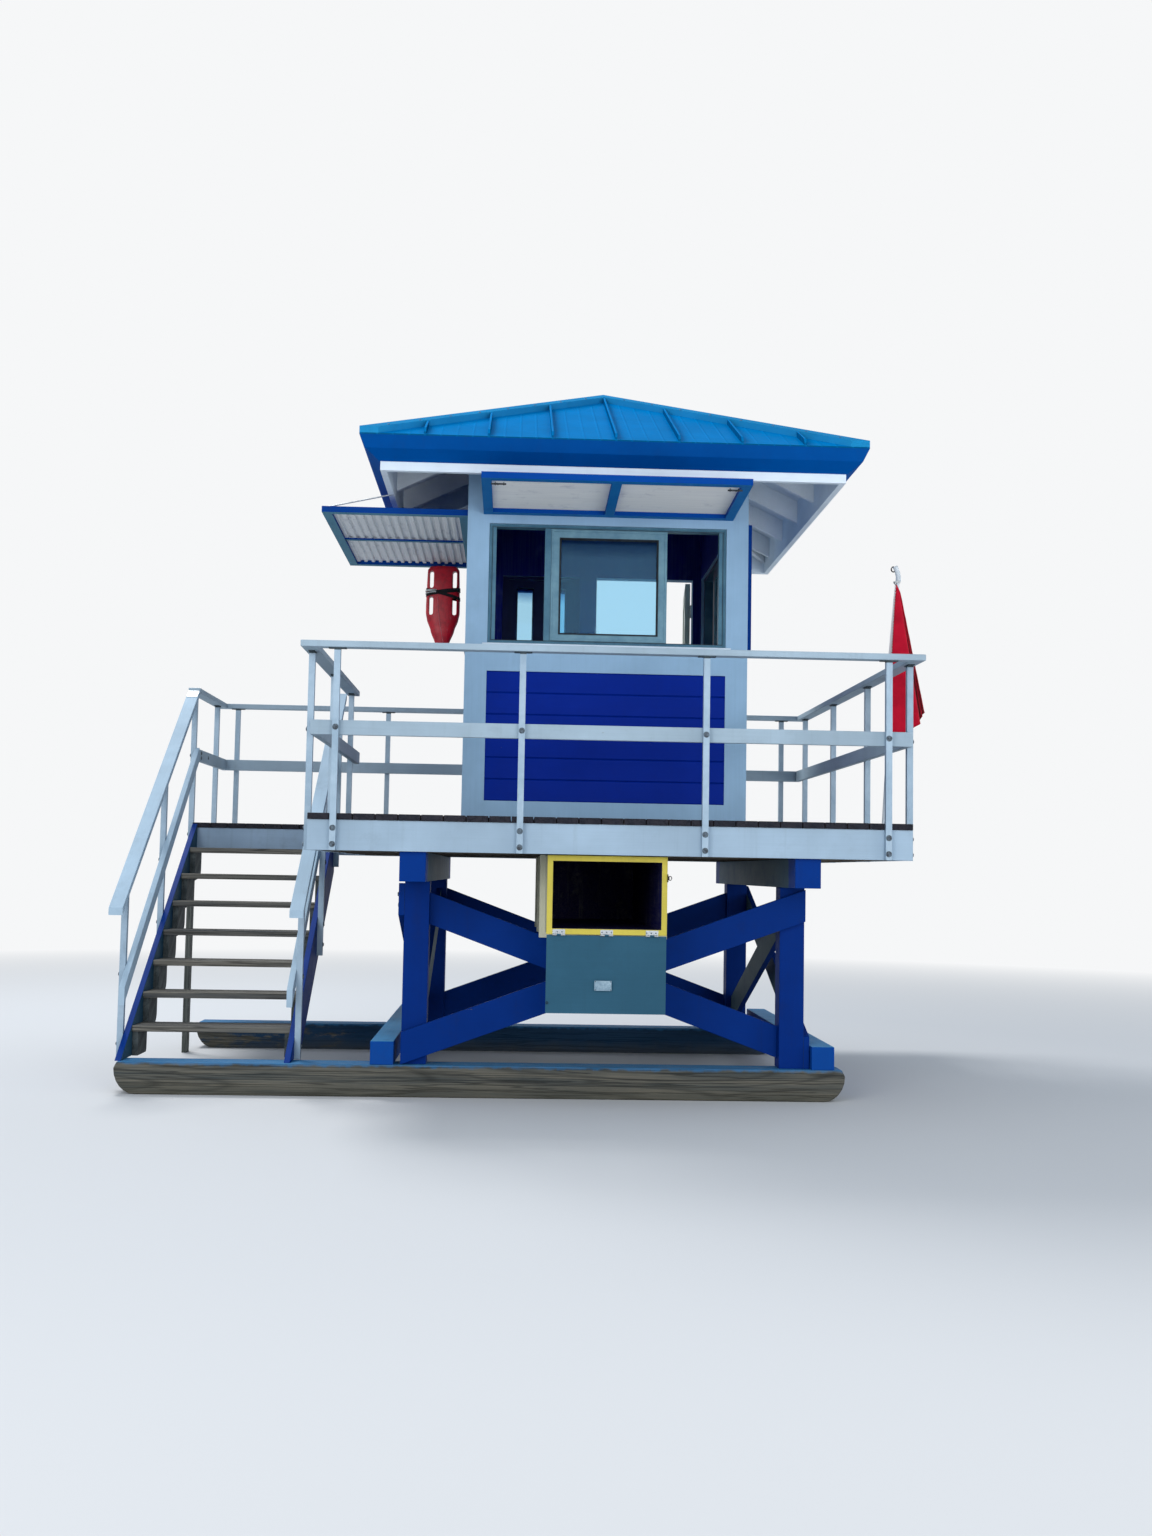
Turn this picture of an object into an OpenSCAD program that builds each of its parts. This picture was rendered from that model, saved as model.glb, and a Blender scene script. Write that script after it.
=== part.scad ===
// Beach lifeguard tower: a square hip-roofed cabin on a railed timber deck,
// carried by four braced posts on two sled runners, with a side stair and landing.
// Millimetres, +Z up, +X to the right of the front, the front looks along -Y.

/* [Base frame] */
// Height of the two runners that lie on the ground
runner_h = 200; // [150:5:260]
// Width of a runner
runner_w = 200; // [170:5:240]
// How far the rounded nose of a runner is cut back at the ground
nose_run = 136; // [60:2:180]
// How far the runners reach past the sills on the right
runner_tail = 70; // [10:5:200]
// Side of the square base posts
post_w = 158; // [120:2:190]
// Distance between the base posts, centre to centre, both ways
post_span = 2396; // [2200:2:2500]
// Height of the base posts above the runners
post_h = 1149; // [1000:1:1400]
// Width of a diagonal brace board
brace_w = 190; // [140:2:220]
// Thickness of brace boards
brace_t = 38; // [25:1:50]
// How far below the girders a diagonal brace stops
brace_drop = 13; // [1:1:60]
// Width of the girders that lie on the posts
girder_w = 158; // [100:2:190]
// Height of the girders
girder_h = 180; // [140:2:230]
// Side of the sills laid on the runners outside the posts
sill_w = 146; // [100:2:190]
// Space between a sill and the side braces
sill_gap = 4; // [1:1:20]

/* [Deck] */
// Outer length and width of the square deck frame
deck_l = 3658; // [3400:2:3900]
// Height of the rim boards round the deck
rim_h = 184; // [150:2:220]
// Thickness of rim boards and joists
joist_t = 38; // [30:1:50]
// Number of joists between the front and rear rim boards
joist_count = 7; // [4:1:10]
// Thickness of the deck boards
board_t = 38; // [20:1:45]
// Number of deck boards side by side
board_count = 27; // [20:1:30]
// Gap between deck boards
board_gap = 6; // [3:1:12]
// How far deck boards reach past the rim at the front and rear
board_over = 12; // [0:1:30]

/* [Cabin] */
// Outer width and depth of the square cabin
cabin_w = 1888; // [1700:2:2100]
// Thickness of the cabin walls
wall_t = 100; // [80:2:140]
// Distance from a corner of the cabin to the wide window holes
window_side = 147; // [140:1:260]
// Height of the window holes
window_h = 807; // [650:1:900]
// Height of the window sills above the deck boards
window_sill = 1185; // [1050:5:1300]
// Height of the blue siding panels
panel_h = 864; // [700:2:950]
// Height of the lower edge of the siding panels above the deck boards
panel_base = 134; // [80:2:200]
// Depth of the pocket that holds the siding
panel_pocket = 22; // [14:1:40]
// Number of siding boards in a panel
lap_count = 6; // [4:1:9]
// Bevel along the edges of the siding boards
groove = 6; // [3:1:9]
// How far the sill trim stands out from the walls
trim_out = 12; // [6:1:30]
// How far the sill trim reaches past each side of a window hole
trim_end = 34; // [20:1:60]
// Height of the sill trim
trim_h = 44; // [25:1:70]
// Distance from the left corner of the cabin to the rear window
rear_window_side = 224; // [190:2:300]
// Width of the wall between the rear window and the doorway
rear_pier = 130; // [110:2:220]
// Distance from the right corner of the cabin to the doorway
door_side = 162; // [150:2:200]
// Width of the doorway
doorway_w = 762; // [650:2:780]
// Height of the doorway above the deck boards
doorway_h = 1992; // [1850:2:2000]
// Thickness of the door leaf
door_t = 40; // [30:1:50]
// Running gap round the door leaf
door_gap = 6; // [5:1:10]
// Height of the door handles above the foot of the leaf
handle_h = 960; // [900:5:1100]
// Angle at which the door stands open
door_open = 95; // [0:1:100]

/* [Windows] */
// Face width of the outer window frames
frame_w = 48; // [30:1:60]
// Depth of the window frames
frame_d = 64; // [40:1:80]
// Face width of the mullion left of the fixed sash
mullion_w = 40; // [25:1:60]
// Distance from the left edge of the window hole to the fixed sash
sash_left = 413; // [300:1:480]
// Distance from the fixed sash to the right edge of the window hole
sash_right = 398; // [300:1:480]
// Face width of the sash stiles and rails
sash_rail = 62; // [40:1:80]
// Depth of the sash
sash_d = 36; // [24:1:50]
// Thickness of the glass
glass_t = 6; // [4:1:12]

/* [Shutters] */
// How far the front and right shutters reach past each side of the window hole
shutter_lap = 41; // [20:1:60]
// Length of the front and right shutters from the hinge edge
front_shutter_l = 856; // [820:2:960]
// How far each end of the left shutter stays from the corner of the cabin
shutter_end = 53; // [30:1:100]
// Length of the left shutter from the hinge edge
left_shutter_l = 980; // [820:2:1040]
// Length of the rear shutter from the hinge edge
rear_shutter_l = 930; // [820:2:940]
// Height of the shutter hinge line above the window holes
shutter_rise = 58; // [40:1:90]
// Thickness of the shutter frames
shutter_t = 40; // [30:1:60]
// Face width of the shutter frame bars
shutter_bar = 62; // [40:1:90]
// Thickness of the flat shutter panels
shutter_panel = 12; // [6:1:20]
// Upward tilt of the open front shutter
shutter_tilt = 1.5; // [0:0.5:6]
// Distance between the ribs of the corrugated left shutter
rib_pitch = 54; // [40:1:80]
// Depth of the corrugation
rib_deep = 14; // [8:1:20]

/* [Roof] */
// Distance from the middle of the roof to the tip of the eave
eave_r = 1609; // [1450:1:1700]
// Height of the eave tip above the wall plate line of the deck boards
eave_h = 2389; // [2300:1:2500]
// Rise of the roof for each unit of run
roof_slope = 0.475; // [0.4:0.005:0.6]
// Thickness of the metal roof panels
roof_sheet = 9; // [6:1:14]
// Thickness of the boards under the panels
roof_board = 27; // [18:1:36]
// Distance between standing seams
seam_pitch = 400; // [300:5:500]
// Height of a standing seam
seam_h = 38; // [25:1:50]
// Width of a standing seam
seam_w = 14; // [8:1:24]
// Half the width of a hip cap, measured in plan
cap_half = 84; // [50:2:120]
// Vertical depth of a rafter
rafter_h = 156; // [110:2:190]
// Thickness of a rafter
rafter_t = 38; // [30:1:50]
// Distance between rafters
rafter_pitch = 610; // [450:5:700]
// How far back from the eave tip the white inner fascia stands
subfascia_in = 124; // [90:1:180]
// Height of the white inner fascia
subfascia_h = 226; // [180:1:260]
// How far the blue fascia is drawn in at its lower edge
fascia_in = 116; // [70:1:120]
// Height of the blue fascia
fascia_h = 146; // [110:1:180]

/* [Railings] */
// Side of the square rail posts
rail_post = 38; // [30:1:50]
// Distance between rail posts along a side of the deck
rail_pitch = 1116; // [1000:1:1150]
// Height of the rail tops above the deck rim
rail_h = 1071; // [950:1:1150]
// Height of the middle rail line above the deck rim
midrail_h = 554; // [450:1:650]
// Width of a rail board
rail_w = 89; // [70:1:120]
// Thickness of a rail board
rail_t = 38; // [25:1:50]
// Length of the flat plate on top of each rail post
plate_l = 108; // [80:1:140]
// Thickness of the plates on top of the rail posts
plate_t = 6; // [4:1:12]

/* [Landing and stair] */
// Outer width of the landing
landing_w = 1221; // [1150:1:1300]
// Distance from the middle of the deck back to the front of the landing
landing_y = 740; // [650:5:900]
// Outer width of the stair
stair_w = 1085; // [900:5:1110]
// Drop from one tread to the next
riser = 194; // [180:1:205]
// Depth of a step, from nosing to nosing
going = 256; // [230:1:270]
// Number of treads
tread_count = 7; // [6:1:7]
// Thickness of a tread
tread_t = 38; // [30:1:45]
// Depth of a tread board
tread_d = 268; // [240:1:286]
// Width of the outer stringer boards
stringer_w = 286; // [235:1:300]
// Thickness of stringers
stringer_t = 38; // [30:1:45]
// Height of the stair handrail above the nosings at the foot
stair_rail_h = 975; // [900:5:1050]
// Height of the middle line of the lower stair rail above the nosings at the foot
stair_mid_h = 360; // [320:5:500]

/* [Board locker] */
// Outer width of the locker
locker_w = 730; // [600:2:900]
// Outer height of the locker
locker_h = 476; // [380:2:500]
// Length of the locker from front to rear
locker_l = 2438; // [2000:2:2600]
// How far the locker mouth stands behind the front rim
locker_in = 75; // [40:1:150]
// How far the locker stands to the left of the middle
locker_left = 20; // [0:1:60]
// Thickness of the locker boards
locker_t = 19; // [12:1:25]
// Face width of the yellow frame round the mouth
mouth_w = 34; // [20:1:60]
// Depth of the frame round the mouth
mouth_d = 90; // [40:1:140]
// Height of the hanging flap
flap_h = 468; // [380:2:500]
// Thickness of the flap
flap_t = 19; // [12:1:25]
// Gap between the flap and the frame above it
flap_gap = 6; // [5:1:12]
// Radius of the hinge barrels
barrel_r = 6; // [4:0.5:8]
// Length of a hinge
hinge_l = 76; // [50:1:120]
// Thickness of the hinge leaves
leaf_t = 2; // [1.5:0.5:4]

/* [Rescue gear] */
// Width of the rescue can
can_w = 270; // [220:2:300]
// Length of the rescue can
can_l = 620; // [560:5:720]
// Depth of the rescue can
can_d = 130; // [100:2:180]
// Radius of the flag pole
pole_r = 13; // [8:1:20]
// Height of the flag pole above the deck rim
pole_h = 1750; // [1500:5:1900]
// Distance of the flag pole from the front of the deck
pole_back = 820; // [600:10:1000]
// Length of the hanging flag
flag_h = 1000; // [800:5:1050]
// Width of the hanging flag
flag_w = 200; // [140:5:240]

/* [Hidden] */

fit = 0.3;
mitre_gap = 0.4;
bearing = 0.02;
tall = 9000;

// Colours of the finishes
white_paint = [0.88, 0.90, 0.93];
cobalt = [0.05, 0.13, 0.62];
pale_blue = [0.30, 0.55, 0.85];
azure = [0.05, 0.42, 0.68];
deep_blue = [0.03, 0.20, 0.48];
weathered = [0.36, 0.36, 0.35];
deck_brown = [0.25, 0.17, 0.14];
bare_timber = [0.50, 0.47, 0.40];
aluminium = [0.62, 0.68, 0.72];
signal_yellow = [0.75, 0.70, 0.25];
cream = [0.66, 0.66, 0.58];
slate = [0.22, 0.38, 0.46];
signal_red = [0.85, 0.07, 0.09];
steel = [0.70, 0.72, 0.74];
pane = [0.55, 0.75, 0.80, 0.35];

// Levels, from the ground up
deck_half = deck_l / 2;
post_base = runner_h;
post_top = post_base + post_h;
rim_bottom = post_top + girder_h;
rim_top = rim_bottom + rim_h;
floor_z = rim_top + board_t;
rail_top = rim_top + rail_h;
post_mid = post_span / 2;
post_out = post_mid + post_w / 2;
post_in = post_mid - post_w / 2;
sill_in = post_out + brace_t + sill_gap;
sill_out = sill_in + sill_w;
runner_out = post_out + brace_t + 16;

// Cabin and roof
cabin_half = cabin_w / 2;
window_w = cabin_w - 2 * window_side;
door_x = cabin_half - door_side - doorway_w;
rear_window_x = -cabin_half + rear_window_side;
rear_window_w = door_x - rear_pier - rear_window_x;
sash_x = -window_w / 2 + sash_left;
sash_w = window_w / 2 - sash_right - sash_x;
front_shutter_w = window_w + 2 * shutter_lap;
left_shutter_w = cabin_w - 2 * shutter_end;
cabin_in = cabin_half - wall_t;
sill_z = floor_z + window_sill;
head_z = sill_z + window_h;
eave_z = floor_z + eave_h;
function roof_z(r) = eave_z + roof_slope * (eave_r - r);
board_drop = roof_sheet + bearing;
rafter_drop = board_drop + roof_board + bearing;
seat_cut = 45;
wall_top = roof_z(cabin_half) - rafter_drop - rafter_h + seat_cut;
subfascia_r = eave_r - subfascia_in;
rafter_end = subfascia_r - joist_t;
shutter_z = head_z + shutter_rise;

// Stair and landing: the left face of the landing, the two faces of the stair
landing_left = -deck_half - landing_w;
stair_left = landing_left;
stair_right = stair_left + stair_w;
stair_foot = landing_y - (tread_count + 1) * going;
stair_slope = riser / going;
function tread_y(k) = landing_y - k * going;
function tread_z(k) = floor_z - k * riser;
function nosing_z(y) = floor_z - (landing_y - y) * stair_slope;
rail_over = (rail_w - rail_post) / 2;
left_reach = landing_left - rail_post - rail_over;
rail_out = deck_half + rail_post + rail_over;
flag_far = rail_out + 2 * pole_r + 4 * fit + flag_w;

// The origin is on the ground under the middle of the whole outline
site_x = -(left_reach + flag_far) / 2;

// Locker
locker_x = -locker_left;
locker_y = -deck_half + locker_in;
locker_top = rim_bottom - 5;
locker_low = locker_top - locker_h;
hinge_y = locker_y - barrel_r - leaf_t;
hinge_z = locker_low - flap_gap / 2;
hinge_xs = [for (share = [-0.397, 0, 0.377]) locker_w * share];

// Door hinge line
door_hinge_x = door_x + doorway_w;
door_hinge_y = cabin_half + 8;

module site() translate([site_x, 0, 0]) children();

module block(lo, hi) translate(lo) cube(hi - lo);

module each_side() for (turn = [0:3]) rotate(90 * turn) children();

module both_ends() for (turn = [0, 180]) rotate(turn) children();

// A flat outline in the X-Z plane, made thick from y0 to y1
module upright(y0, y1) translate([0, y1, 0]) rotate([90, 0, 0]) linear_extrude(y1 - y0) children();

// A flat outline in the Y-Z plane, made thick from x0 to x1
module sidewise(x0, x1) translate([x0, 0, 0]) rotate([90, 0, 90]) linear_extrude(x1 - x0) children();

// Base frame

module runner_outline() {
    left = landing_left;
    right = sill_out + runner_tail;
    polygon(concat(
        [[left + nose_run, 0], [right - nose_run, 0]],
        [for (a = [-90:15:0]) [right - nose_run + nose_run * cos(a), runner_h * 0.8 * (1 + sin(a))]],
        [[right - 20, runner_h], [left + 20, runner_h]],
        [for (a = [180:15:270]) [left + nose_run + nose_run * cos(a), runner_h * 0.8 * (1 + sin(a))]]));
}

module runners() color(bare_timber) {
    upright(-runner_out, -runner_out + runner_w) runner_outline();
    upright(runner_out - runner_w, runner_out) runner_outline();
}

module sills() color(pale_blue)
    for (side = [-1, 1])
        block([side < 0 ? -sill_out : sill_in, -runner_out, runner_h],
              [side < 0 ? -sill_in : sill_out, runner_out, runner_h + sill_w]);

module base_posts() color(cobalt)
    for (x = [-1, 1], y = [-1, 1])
        translate([x * post_mid, y * post_mid, post_base + post_h / 2])
            cube([post_w, post_w, post_h], center = true);

module girders() color(cobalt)
    for (x = [-1, 1])
        block([x * post_mid - girder_w / 2, -deck_half + joist_t, post_top],
              [x * post_mid + girder_w / 2, deck_half - joist_t, rim_bottom]);

// Rising board with plumb ends, from the foot of one post to the head of the next
brace_rise = post_h - brace_drop;
brace_v = brace_w / cos(atan((brace_rise - brace_w) / (2 * post_out)));
module brace_outline() polygon([
    [-post_out, post_base], [post_out, post_base + brace_rise - brace_v],
    [post_out, post_base + brace_rise], [-post_out, post_base + brace_v]]);

module inner_brace_outline() intersection() {
    mirror([1, 0]) brace_outline();
    translate([-post_in, 0]) square([2 * post_in, rim_bottom]);
}

module brace_pair() {
    upright(-post_out - brace_t, -post_out) brace_outline();
    upright(-post_mid, -post_mid + brace_t) inner_brace_outline();
}

module braces() color(cobalt) each_side() brace_pair();

// Deck

module end_rims() color(white_paint)
    for (y = [-deck_half, deck_half - joist_t])
        block([-deck_half, y, rim_bottom], [deck_half, y + joist_t, rim_top]);

module side_rims() color(white_paint)
    for (x = [-deck_half, deck_half - joist_t])
        block([x, -deck_half + joist_t, rim_bottom], [x + joist_t, deck_half - joist_t, rim_top]);

joist_reach = deck_half - joist_t;
joist_pitch = 2 * joist_reach / (joist_count + 1);
module floor_joists() color(weathered)
    for (k = [1:joist_count]) {
        y = -joist_reach + k * joist_pitch;
        block([-joist_reach, y - joist_t / 2, rim_bottom], [joist_reach, y + joist_t / 2, rim_top]);
    }

rail_marks = [for (k = [0:3]) (k - 1.5) * rail_pitch];
landing_mark = landing_left + 3 * rail_post;
board_pitch = (deck_l + board_gap) / board_count;
landing_count = round(landing_w / board_pitch);
landing_pitch = landing_w / landing_count;

// Notch in the board ends round a rail post at distance s along the front
module post_notch(s)
    block([s - rail_post / 2 - fit, -deck_half - board_over - 1, rim_top - 1],
          [s + rail_post / 2 + fit, -deck_half, floor_z + 1]);

module deck_boards() color(deck_brown) difference() {
    deck_board_rows();
    for (turn = [0, 180]) rotate(turn) for (s = rail_marks) post_notch(s);
    rotate(180) post_notch(-landing_mark);
}

module deck_board_rows() {
    for (k = [0:board_count - 1]) {
        x = -deck_half + k * board_pitch;
        block([x, -deck_half - board_over, rim_top],
              [x + board_pitch - board_gap, deck_half + board_over, floor_z]);
    }
    for (k = [0:landing_count - 1]) {
        x = landing_left + k * landing_pitch;
        block([x, landing_y - board_over, rim_top],
              [x + landing_pitch - board_gap, deck_half + board_over, floor_z]);
    }
}

// Landing beside the rear of the deck

module landing_frame() color(white_paint) {
    right = -deck_half;
    difference() {
        block([landing_left, landing_y, rim_bottom], [right, deck_half, rim_top]);
        block([landing_left + joist_t, landing_y + joist_t, rim_bottom - 1],
              [right + 1, deck_half - joist_t, rim_top + 1]);
    }
    block([landing_left + joist_t, (landing_y + deck_half - joist_t) / 2, rim_bottom],
          [right, (landing_y + deck_half + joist_t) / 2, rim_top]);
}

// One leg under the outer corner at the head of the stair; the rear rim boards carry the other corner
module landing_legs() color(weathered) {
    y = landing_y + rail_post * 1.5;
    block([landing_left - rail_post, y, 0], [landing_left, y + rail_w, rim_top - joist_t]);
}

// Stair

stringer_v = stringer_w / cos(atan(stair_slope));
module stringer_outline() intersection() {
    polygon([
        [landing_y, nosing_z(landing_y)], [stair_foot - stringer_w, nosing_z(stair_foot - stringer_w)],
        [stair_foot - stringer_w, nosing_z(stair_foot - stringer_w) - stringer_v],
        [landing_y, nosing_z(landing_y) - stringer_v]]);
    polygon([
        [-runner_out, runner_h], [-runner_out, floor_z], [landing_y - board_over - fit, floor_z],
        [landing_y - board_over - fit, rim_top], [landing_y, rim_top], [landing_y, runner_h]]);
}

module stair_stringers() color(cobalt) {
    sidewise(stair_left, stair_left + stringer_t) stringer_outline();
    sidewise(stair_right - stringer_t, stair_right) stringer_outline();
}

// One step of the inner carriage: a level seat for the tread over a rounded nose at the rear
corbel_r = riser * 0.4;
module corbel_outline(k) {
    y = tread_y(k);
    z = tread_z(k) - tread_t;
    translate([y + 20, z]) polygon(concat(
        [[0, 0], [0, -riser * 1.1]],
        [for (a = [-90:15:0]) [going - 20 - corbel_r + corbel_r * cos(a), -riser + corbel_r + corbel_r * sin(a)]],
        [[going - 20, 0]]));
}

module carriage_outline() intersection() {
    for (k = [1:tread_count]) corbel_outline(k);
    translate([-runner_out, runner_h]) square([landing_y + runner_out, floor_z]);
}

module stair_carriages() color(weathered) {
    sidewise(stair_left + stringer_t, stair_left + 2 * stringer_t) carriage_outline();
    sidewise(stair_right - 2 * stringer_t, stair_right - stringer_t) carriage_outline();
}

module stair_treads() color(weathered)
    for (k = [1:tread_count])
        block([stair_left + stringer_t, tread_y(k), tread_z(k) - tread_t],
              [stair_right - stringer_t, min(tread_y(k) + tread_d, landing_y), tread_z(k)]);

// Stair rail posts stand outside the stringers and carry the sloping rails
stair_rail_y = stair_foot - 30;
function rail_line(y, foot, head) =
    nosing_z(y) + foot + (head - foot) * (y - stair_rail_y) / (gate - stair_rail_y);
function handrail_z(y) = rail_line(y, stair_rail_h, rail_top - nosing_z(gate) - rail_t / 2);
function midrail_z(y) = rail_line(y, stair_mid_h, rim_top + midrail_h - nosing_z(gate));
rail_v = rail_t / cos(atan(stair_slope));
midrail_v = rail_w / cos(atan(stair_slope));

module stair_post(x, y) {
    low = max(nosing_z(y) - stringer_v * 0.8, runner_h);
    sidewise(x, x + rail_post) polygon([
        [y - rail_post / 2, low], [y + rail_post / 2, low],
        [y + rail_post / 2, handrail_z(y + rail_post / 2) - rail_v],
        [y - rail_post / 2, handrail_z(y - rail_post / 2) - rail_v]]);
}

module stair_posts() {
    for (step = [0.8, 4.6]) {
        y = stair_foot + step * going;
        stair_post(stair_left - rail_post, y);
        stair_post(stair_right, y);
    }
    stair_post(stair_right, gate - rail_post / 2 - fit);
}

module slope_board(x0, x1, y0, y1, high, thick) sidewise(x0, x1) polygon([
    [y0, high[0]], [y1, high[1]], [y1, high[1] - thick], [y0, high[0] - thick]]);

module stair_rails() color(white_paint)
    for (side = [0, 1]) {
        post = side == 0 ? stair_left - rail_post : stair_right;
        slope_board(post - rail_over, post + rail_post + rail_over, stair_rail_y, gate - mitre_gap,
            [handrail_z(stair_rail_y), handrail_z(gate)], rail_v);
        inner = side == 0 ? stair_left : stair_right - rail_t;
        low = stair_rail_y + 70;
        slope_board(inner, inner + rail_t, low, gate - mitre_gap,
            [midrail_z(low) + midrail_v / 2, midrail_z(gate) + midrail_v / 2], midrail_v);
    }

// Railings

// A rail post fixed outside the rim at distance s along the front, with its top plate
module rail_post_front(s) {
    block([s - rail_post / 2, -deck_half - rail_post, rim_bottom],
          [s + rail_post / 2, -deck_half, rail_top - rail_t - plate_t]);
    block([s - plate_l / 2, -deck_half - rail_post, rail_top - rail_t - plate_t],
          [s + plate_l / 2, -deck_half, rail_top - rail_t]);
}

newel_in = plate_l / 2 - rail_over + 4;

module rail_posts() color(aluminium) {
    for (turn = [0, 90, 180]) rotate(turn) for (s = rail_marks) rail_post_front(s);
    rotate(-90) for (s = rail_marks) if (-s < landing_y - plate_l) rail_post_front(s);
    rotate(180) rail_post_front(-landing_mark);
    translate([landing_left + deck_half, 0, 0])
        rotate(-90) for (y = [landing_y + newel_in, rail_marks[3] - rail_post]) rail_post_front(-y);
    stair_posts();
}

// Flat top rail from a to b, with mitred ends, and upright middle rail from c to d
module rail_run(a, b, a_cut, b_cut, c, d) {
    translate([0, 0, rail_top - rail_t]) linear_extrude(rail_t) polygon([
        [a, -rail_out], [b, -rail_out], [b - b_cut, -rail_out + rail_w], [a + a_cut, -rail_out + rail_w]]);
    block([c, -deck_half, rim_top + midrail_h - rail_w / 2],
          [d, -deck_half + rail_t, rim_top + midrail_h + rail_w / 2]);
}

mid_end = deck_half - rail_t - mitre_gap;
gate = landing_y - rail_over;
module front_rear_rails() color(white_paint) {
    rail_run(-rail_out, rail_out, rail_w, rail_w, -deck_half, deck_half);
    rotate(180) rail_run(-rail_out, -left_reach, rail_w, rail_w, -deck_half, -landing_left);
}

module side_rails() color(white_paint) {
    far = rail_out - mitre_gap;
    rotate(90) rail_run(-far, far, rail_w, rail_w, -mid_end, mid_end);
    rotate(-90) rail_run(-gate, far, 0, rail_w, -gate, mid_end);
    translate([landing_left + deck_half, 0, 0])
        rotate(-90) rail_run(-far, -gate, rail_w, 0, -mid_end, -gate);
}

// Cabin walls

module wall_outline(width) square([width, wall_top - floor_z]);

// A wall along the front, w wide, with a window hole and a pocket for the siding below it
module window_wall(w) difference() {
    block([-w / 2, -cabin_half, floor_z], [w / 2, -cabin_in, wall_top]);
    block([-window_w / 2, -cabin_half - 1, sill_z], [window_w / 2, -cabin_in + 1, head_z]);
    block([-window_w / 2, -cabin_half - 1, floor_z + panel_base],
          [window_w / 2, -cabin_half + panel_pocket, floor_z + panel_base + panel_h]);
}

module front_wall() color(white_paint) window_wall(cabin_w);
module side_walls() color(white_paint) for (turn = [-90, 90]) rotate(turn) window_wall(2 * cabin_in);

module rear_wall() color(white_paint) difference() {
    block([-cabin_half, cabin_in, floor_z], [door_x, cabin_half, wall_top]);
    block([rear_window_x, cabin_in - 1, sill_z], [rear_window_x + rear_window_w, cabin_half + 1, head_z]);
    block([rear_window_x, cabin_half - panel_pocket, floor_z + panel_base],
          [rear_window_x + rear_window_w, cabin_half + 1, floor_z + panel_base + panel_h]);
}

module door_jamb_wall() color(white_paint)
    block([door_hinge_x, cabin_in, floor_z], [cabin_half, cabin_half, wall_top]);

module door_head_wall() color(white_paint)
    block([door_x, cabin_in, floor_z + doorway_h], [door_hinge_x, cabin_half, wall_top]);

// Siding boards with bevelled edges that fill the pocket of one wall
lap_h = panel_h / lap_count;
module siding(width) {
    deep = -cabin_half + panel_pocket;
    face = -cabin_half + 4;
    for (k = [0:lap_count - 1]) {
        low = floor_z + panel_base + k * lap_h + fit;
        high = low + lap_h - 2 * fit;
        sidewise(-width / 2 + fit, width / 2 - fit) polygon([
            [deep, low], [face + groove, low], [face, low + groove],
            [face, high - groove], [face + groove, high], [deep, high]]);
    }
}

module siding_panels() color(cobalt) {
    siding(window_w);
    rotate(90) siding(window_w);
    rotate(-90) siding(window_w);
    translate([rear_window_x + rear_window_w / 2, 0, 0]) rotate(180) siding(rear_window_w);
}

// Thin sill board below each window
module sill_board(width)
    block([-width / 2 - trim_end, -cabin_half - trim_out, sill_z - trim_h],
          [width / 2 + trim_end, -cabin_half, sill_z]);

module sill_trim() color(white_paint) {
    for (turn = [-90, 0, 90]) rotate(turn) sill_board(window_w);
    translate([rear_window_x + rear_window_w / 2, 0, 0]) rotate(180) sill_board(rear_window_w);
}

// Windows

frame_y = -cabin_half + 14;
module window_frame(width) difference() {
    block([-width / 2, frame_y, sill_z], [width / 2, frame_y + frame_d, head_z]);
    block([-width / 2 + frame_w, frame_y - 1, sill_z + frame_w / 2],
          [width / 2 - frame_w, frame_y + frame_d + 1, head_z - frame_w / 2]);
}

module wide_window_frame() {
    window_frame(window_w);
    block([sash_x - mullion_w, frame_y, sill_z + frame_w / 2], [sash_x, frame_y + frame_d, head_z - frame_w / 2]);
}

module window_frames() color(aluminium) {
    wide_window_frame();
    rotate(90) wide_window_frame();
    rotate(-90) wide_window_frame();
    translate([rear_window_x + rear_window_w / 2, 0, 0]) rotate(180) window_frame(rear_window_w);
}

sash_y = frame_y + 8;
module sash(left, width) difference() {
    block([left, sash_y, sill_z + frame_w / 2], [left + width, sash_y + sash_d, head_z - frame_w / 2]);
    block([left + sash_rail, sash_y - 1, sill_z + frame_w / 2 + sash_rail * 0.8],
          [left + width - sash_rail, sash_y + sash_d + 1, head_z - frame_w / 2 - sash_rail]);
}

module rear_sash_pair() {
    half = rear_window_w / 2 - frame_w;
    sash(-half, half);
    sash(0, half);
}

module window_sashes() color(aluminium) {
    sash(sash_x, sash_w);
    rotate(90) sash(sash_x, sash_w);
    rotate(-90) sash(sash_x, sash_w);
    translate([rear_window_x + rear_window_w / 2, 0, 0]) rotate(180) rear_sash_pair();
}

module glazing(left, width) {
    mid = sash_y + sash_d / 2;
    block([left + sash_rail, mid - glass_t / 2, sill_z + frame_w / 2 + sash_rail * 0.8],
          [left + width - sash_rail, mid + glass_t / 2, head_z - frame_w / 2 - sash_rail]);
}

module window_glass() color(pane) {
    glazing(sash_x, sash_w);
    rotate(90) glazing(sash_x, sash_w);
    rotate(-90) glazing(sash_x, sash_w);
    half = rear_window_w / 2 - frame_w;
    translate([rear_window_x + rear_window_w / 2, 0, 0]) rotate(180) {
        glazing(-half, half);
        glazing(0, half);
    }
}

// Shutters: a frame that lies flat, hinge edge at y = 0, reaching towards -Y

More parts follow.
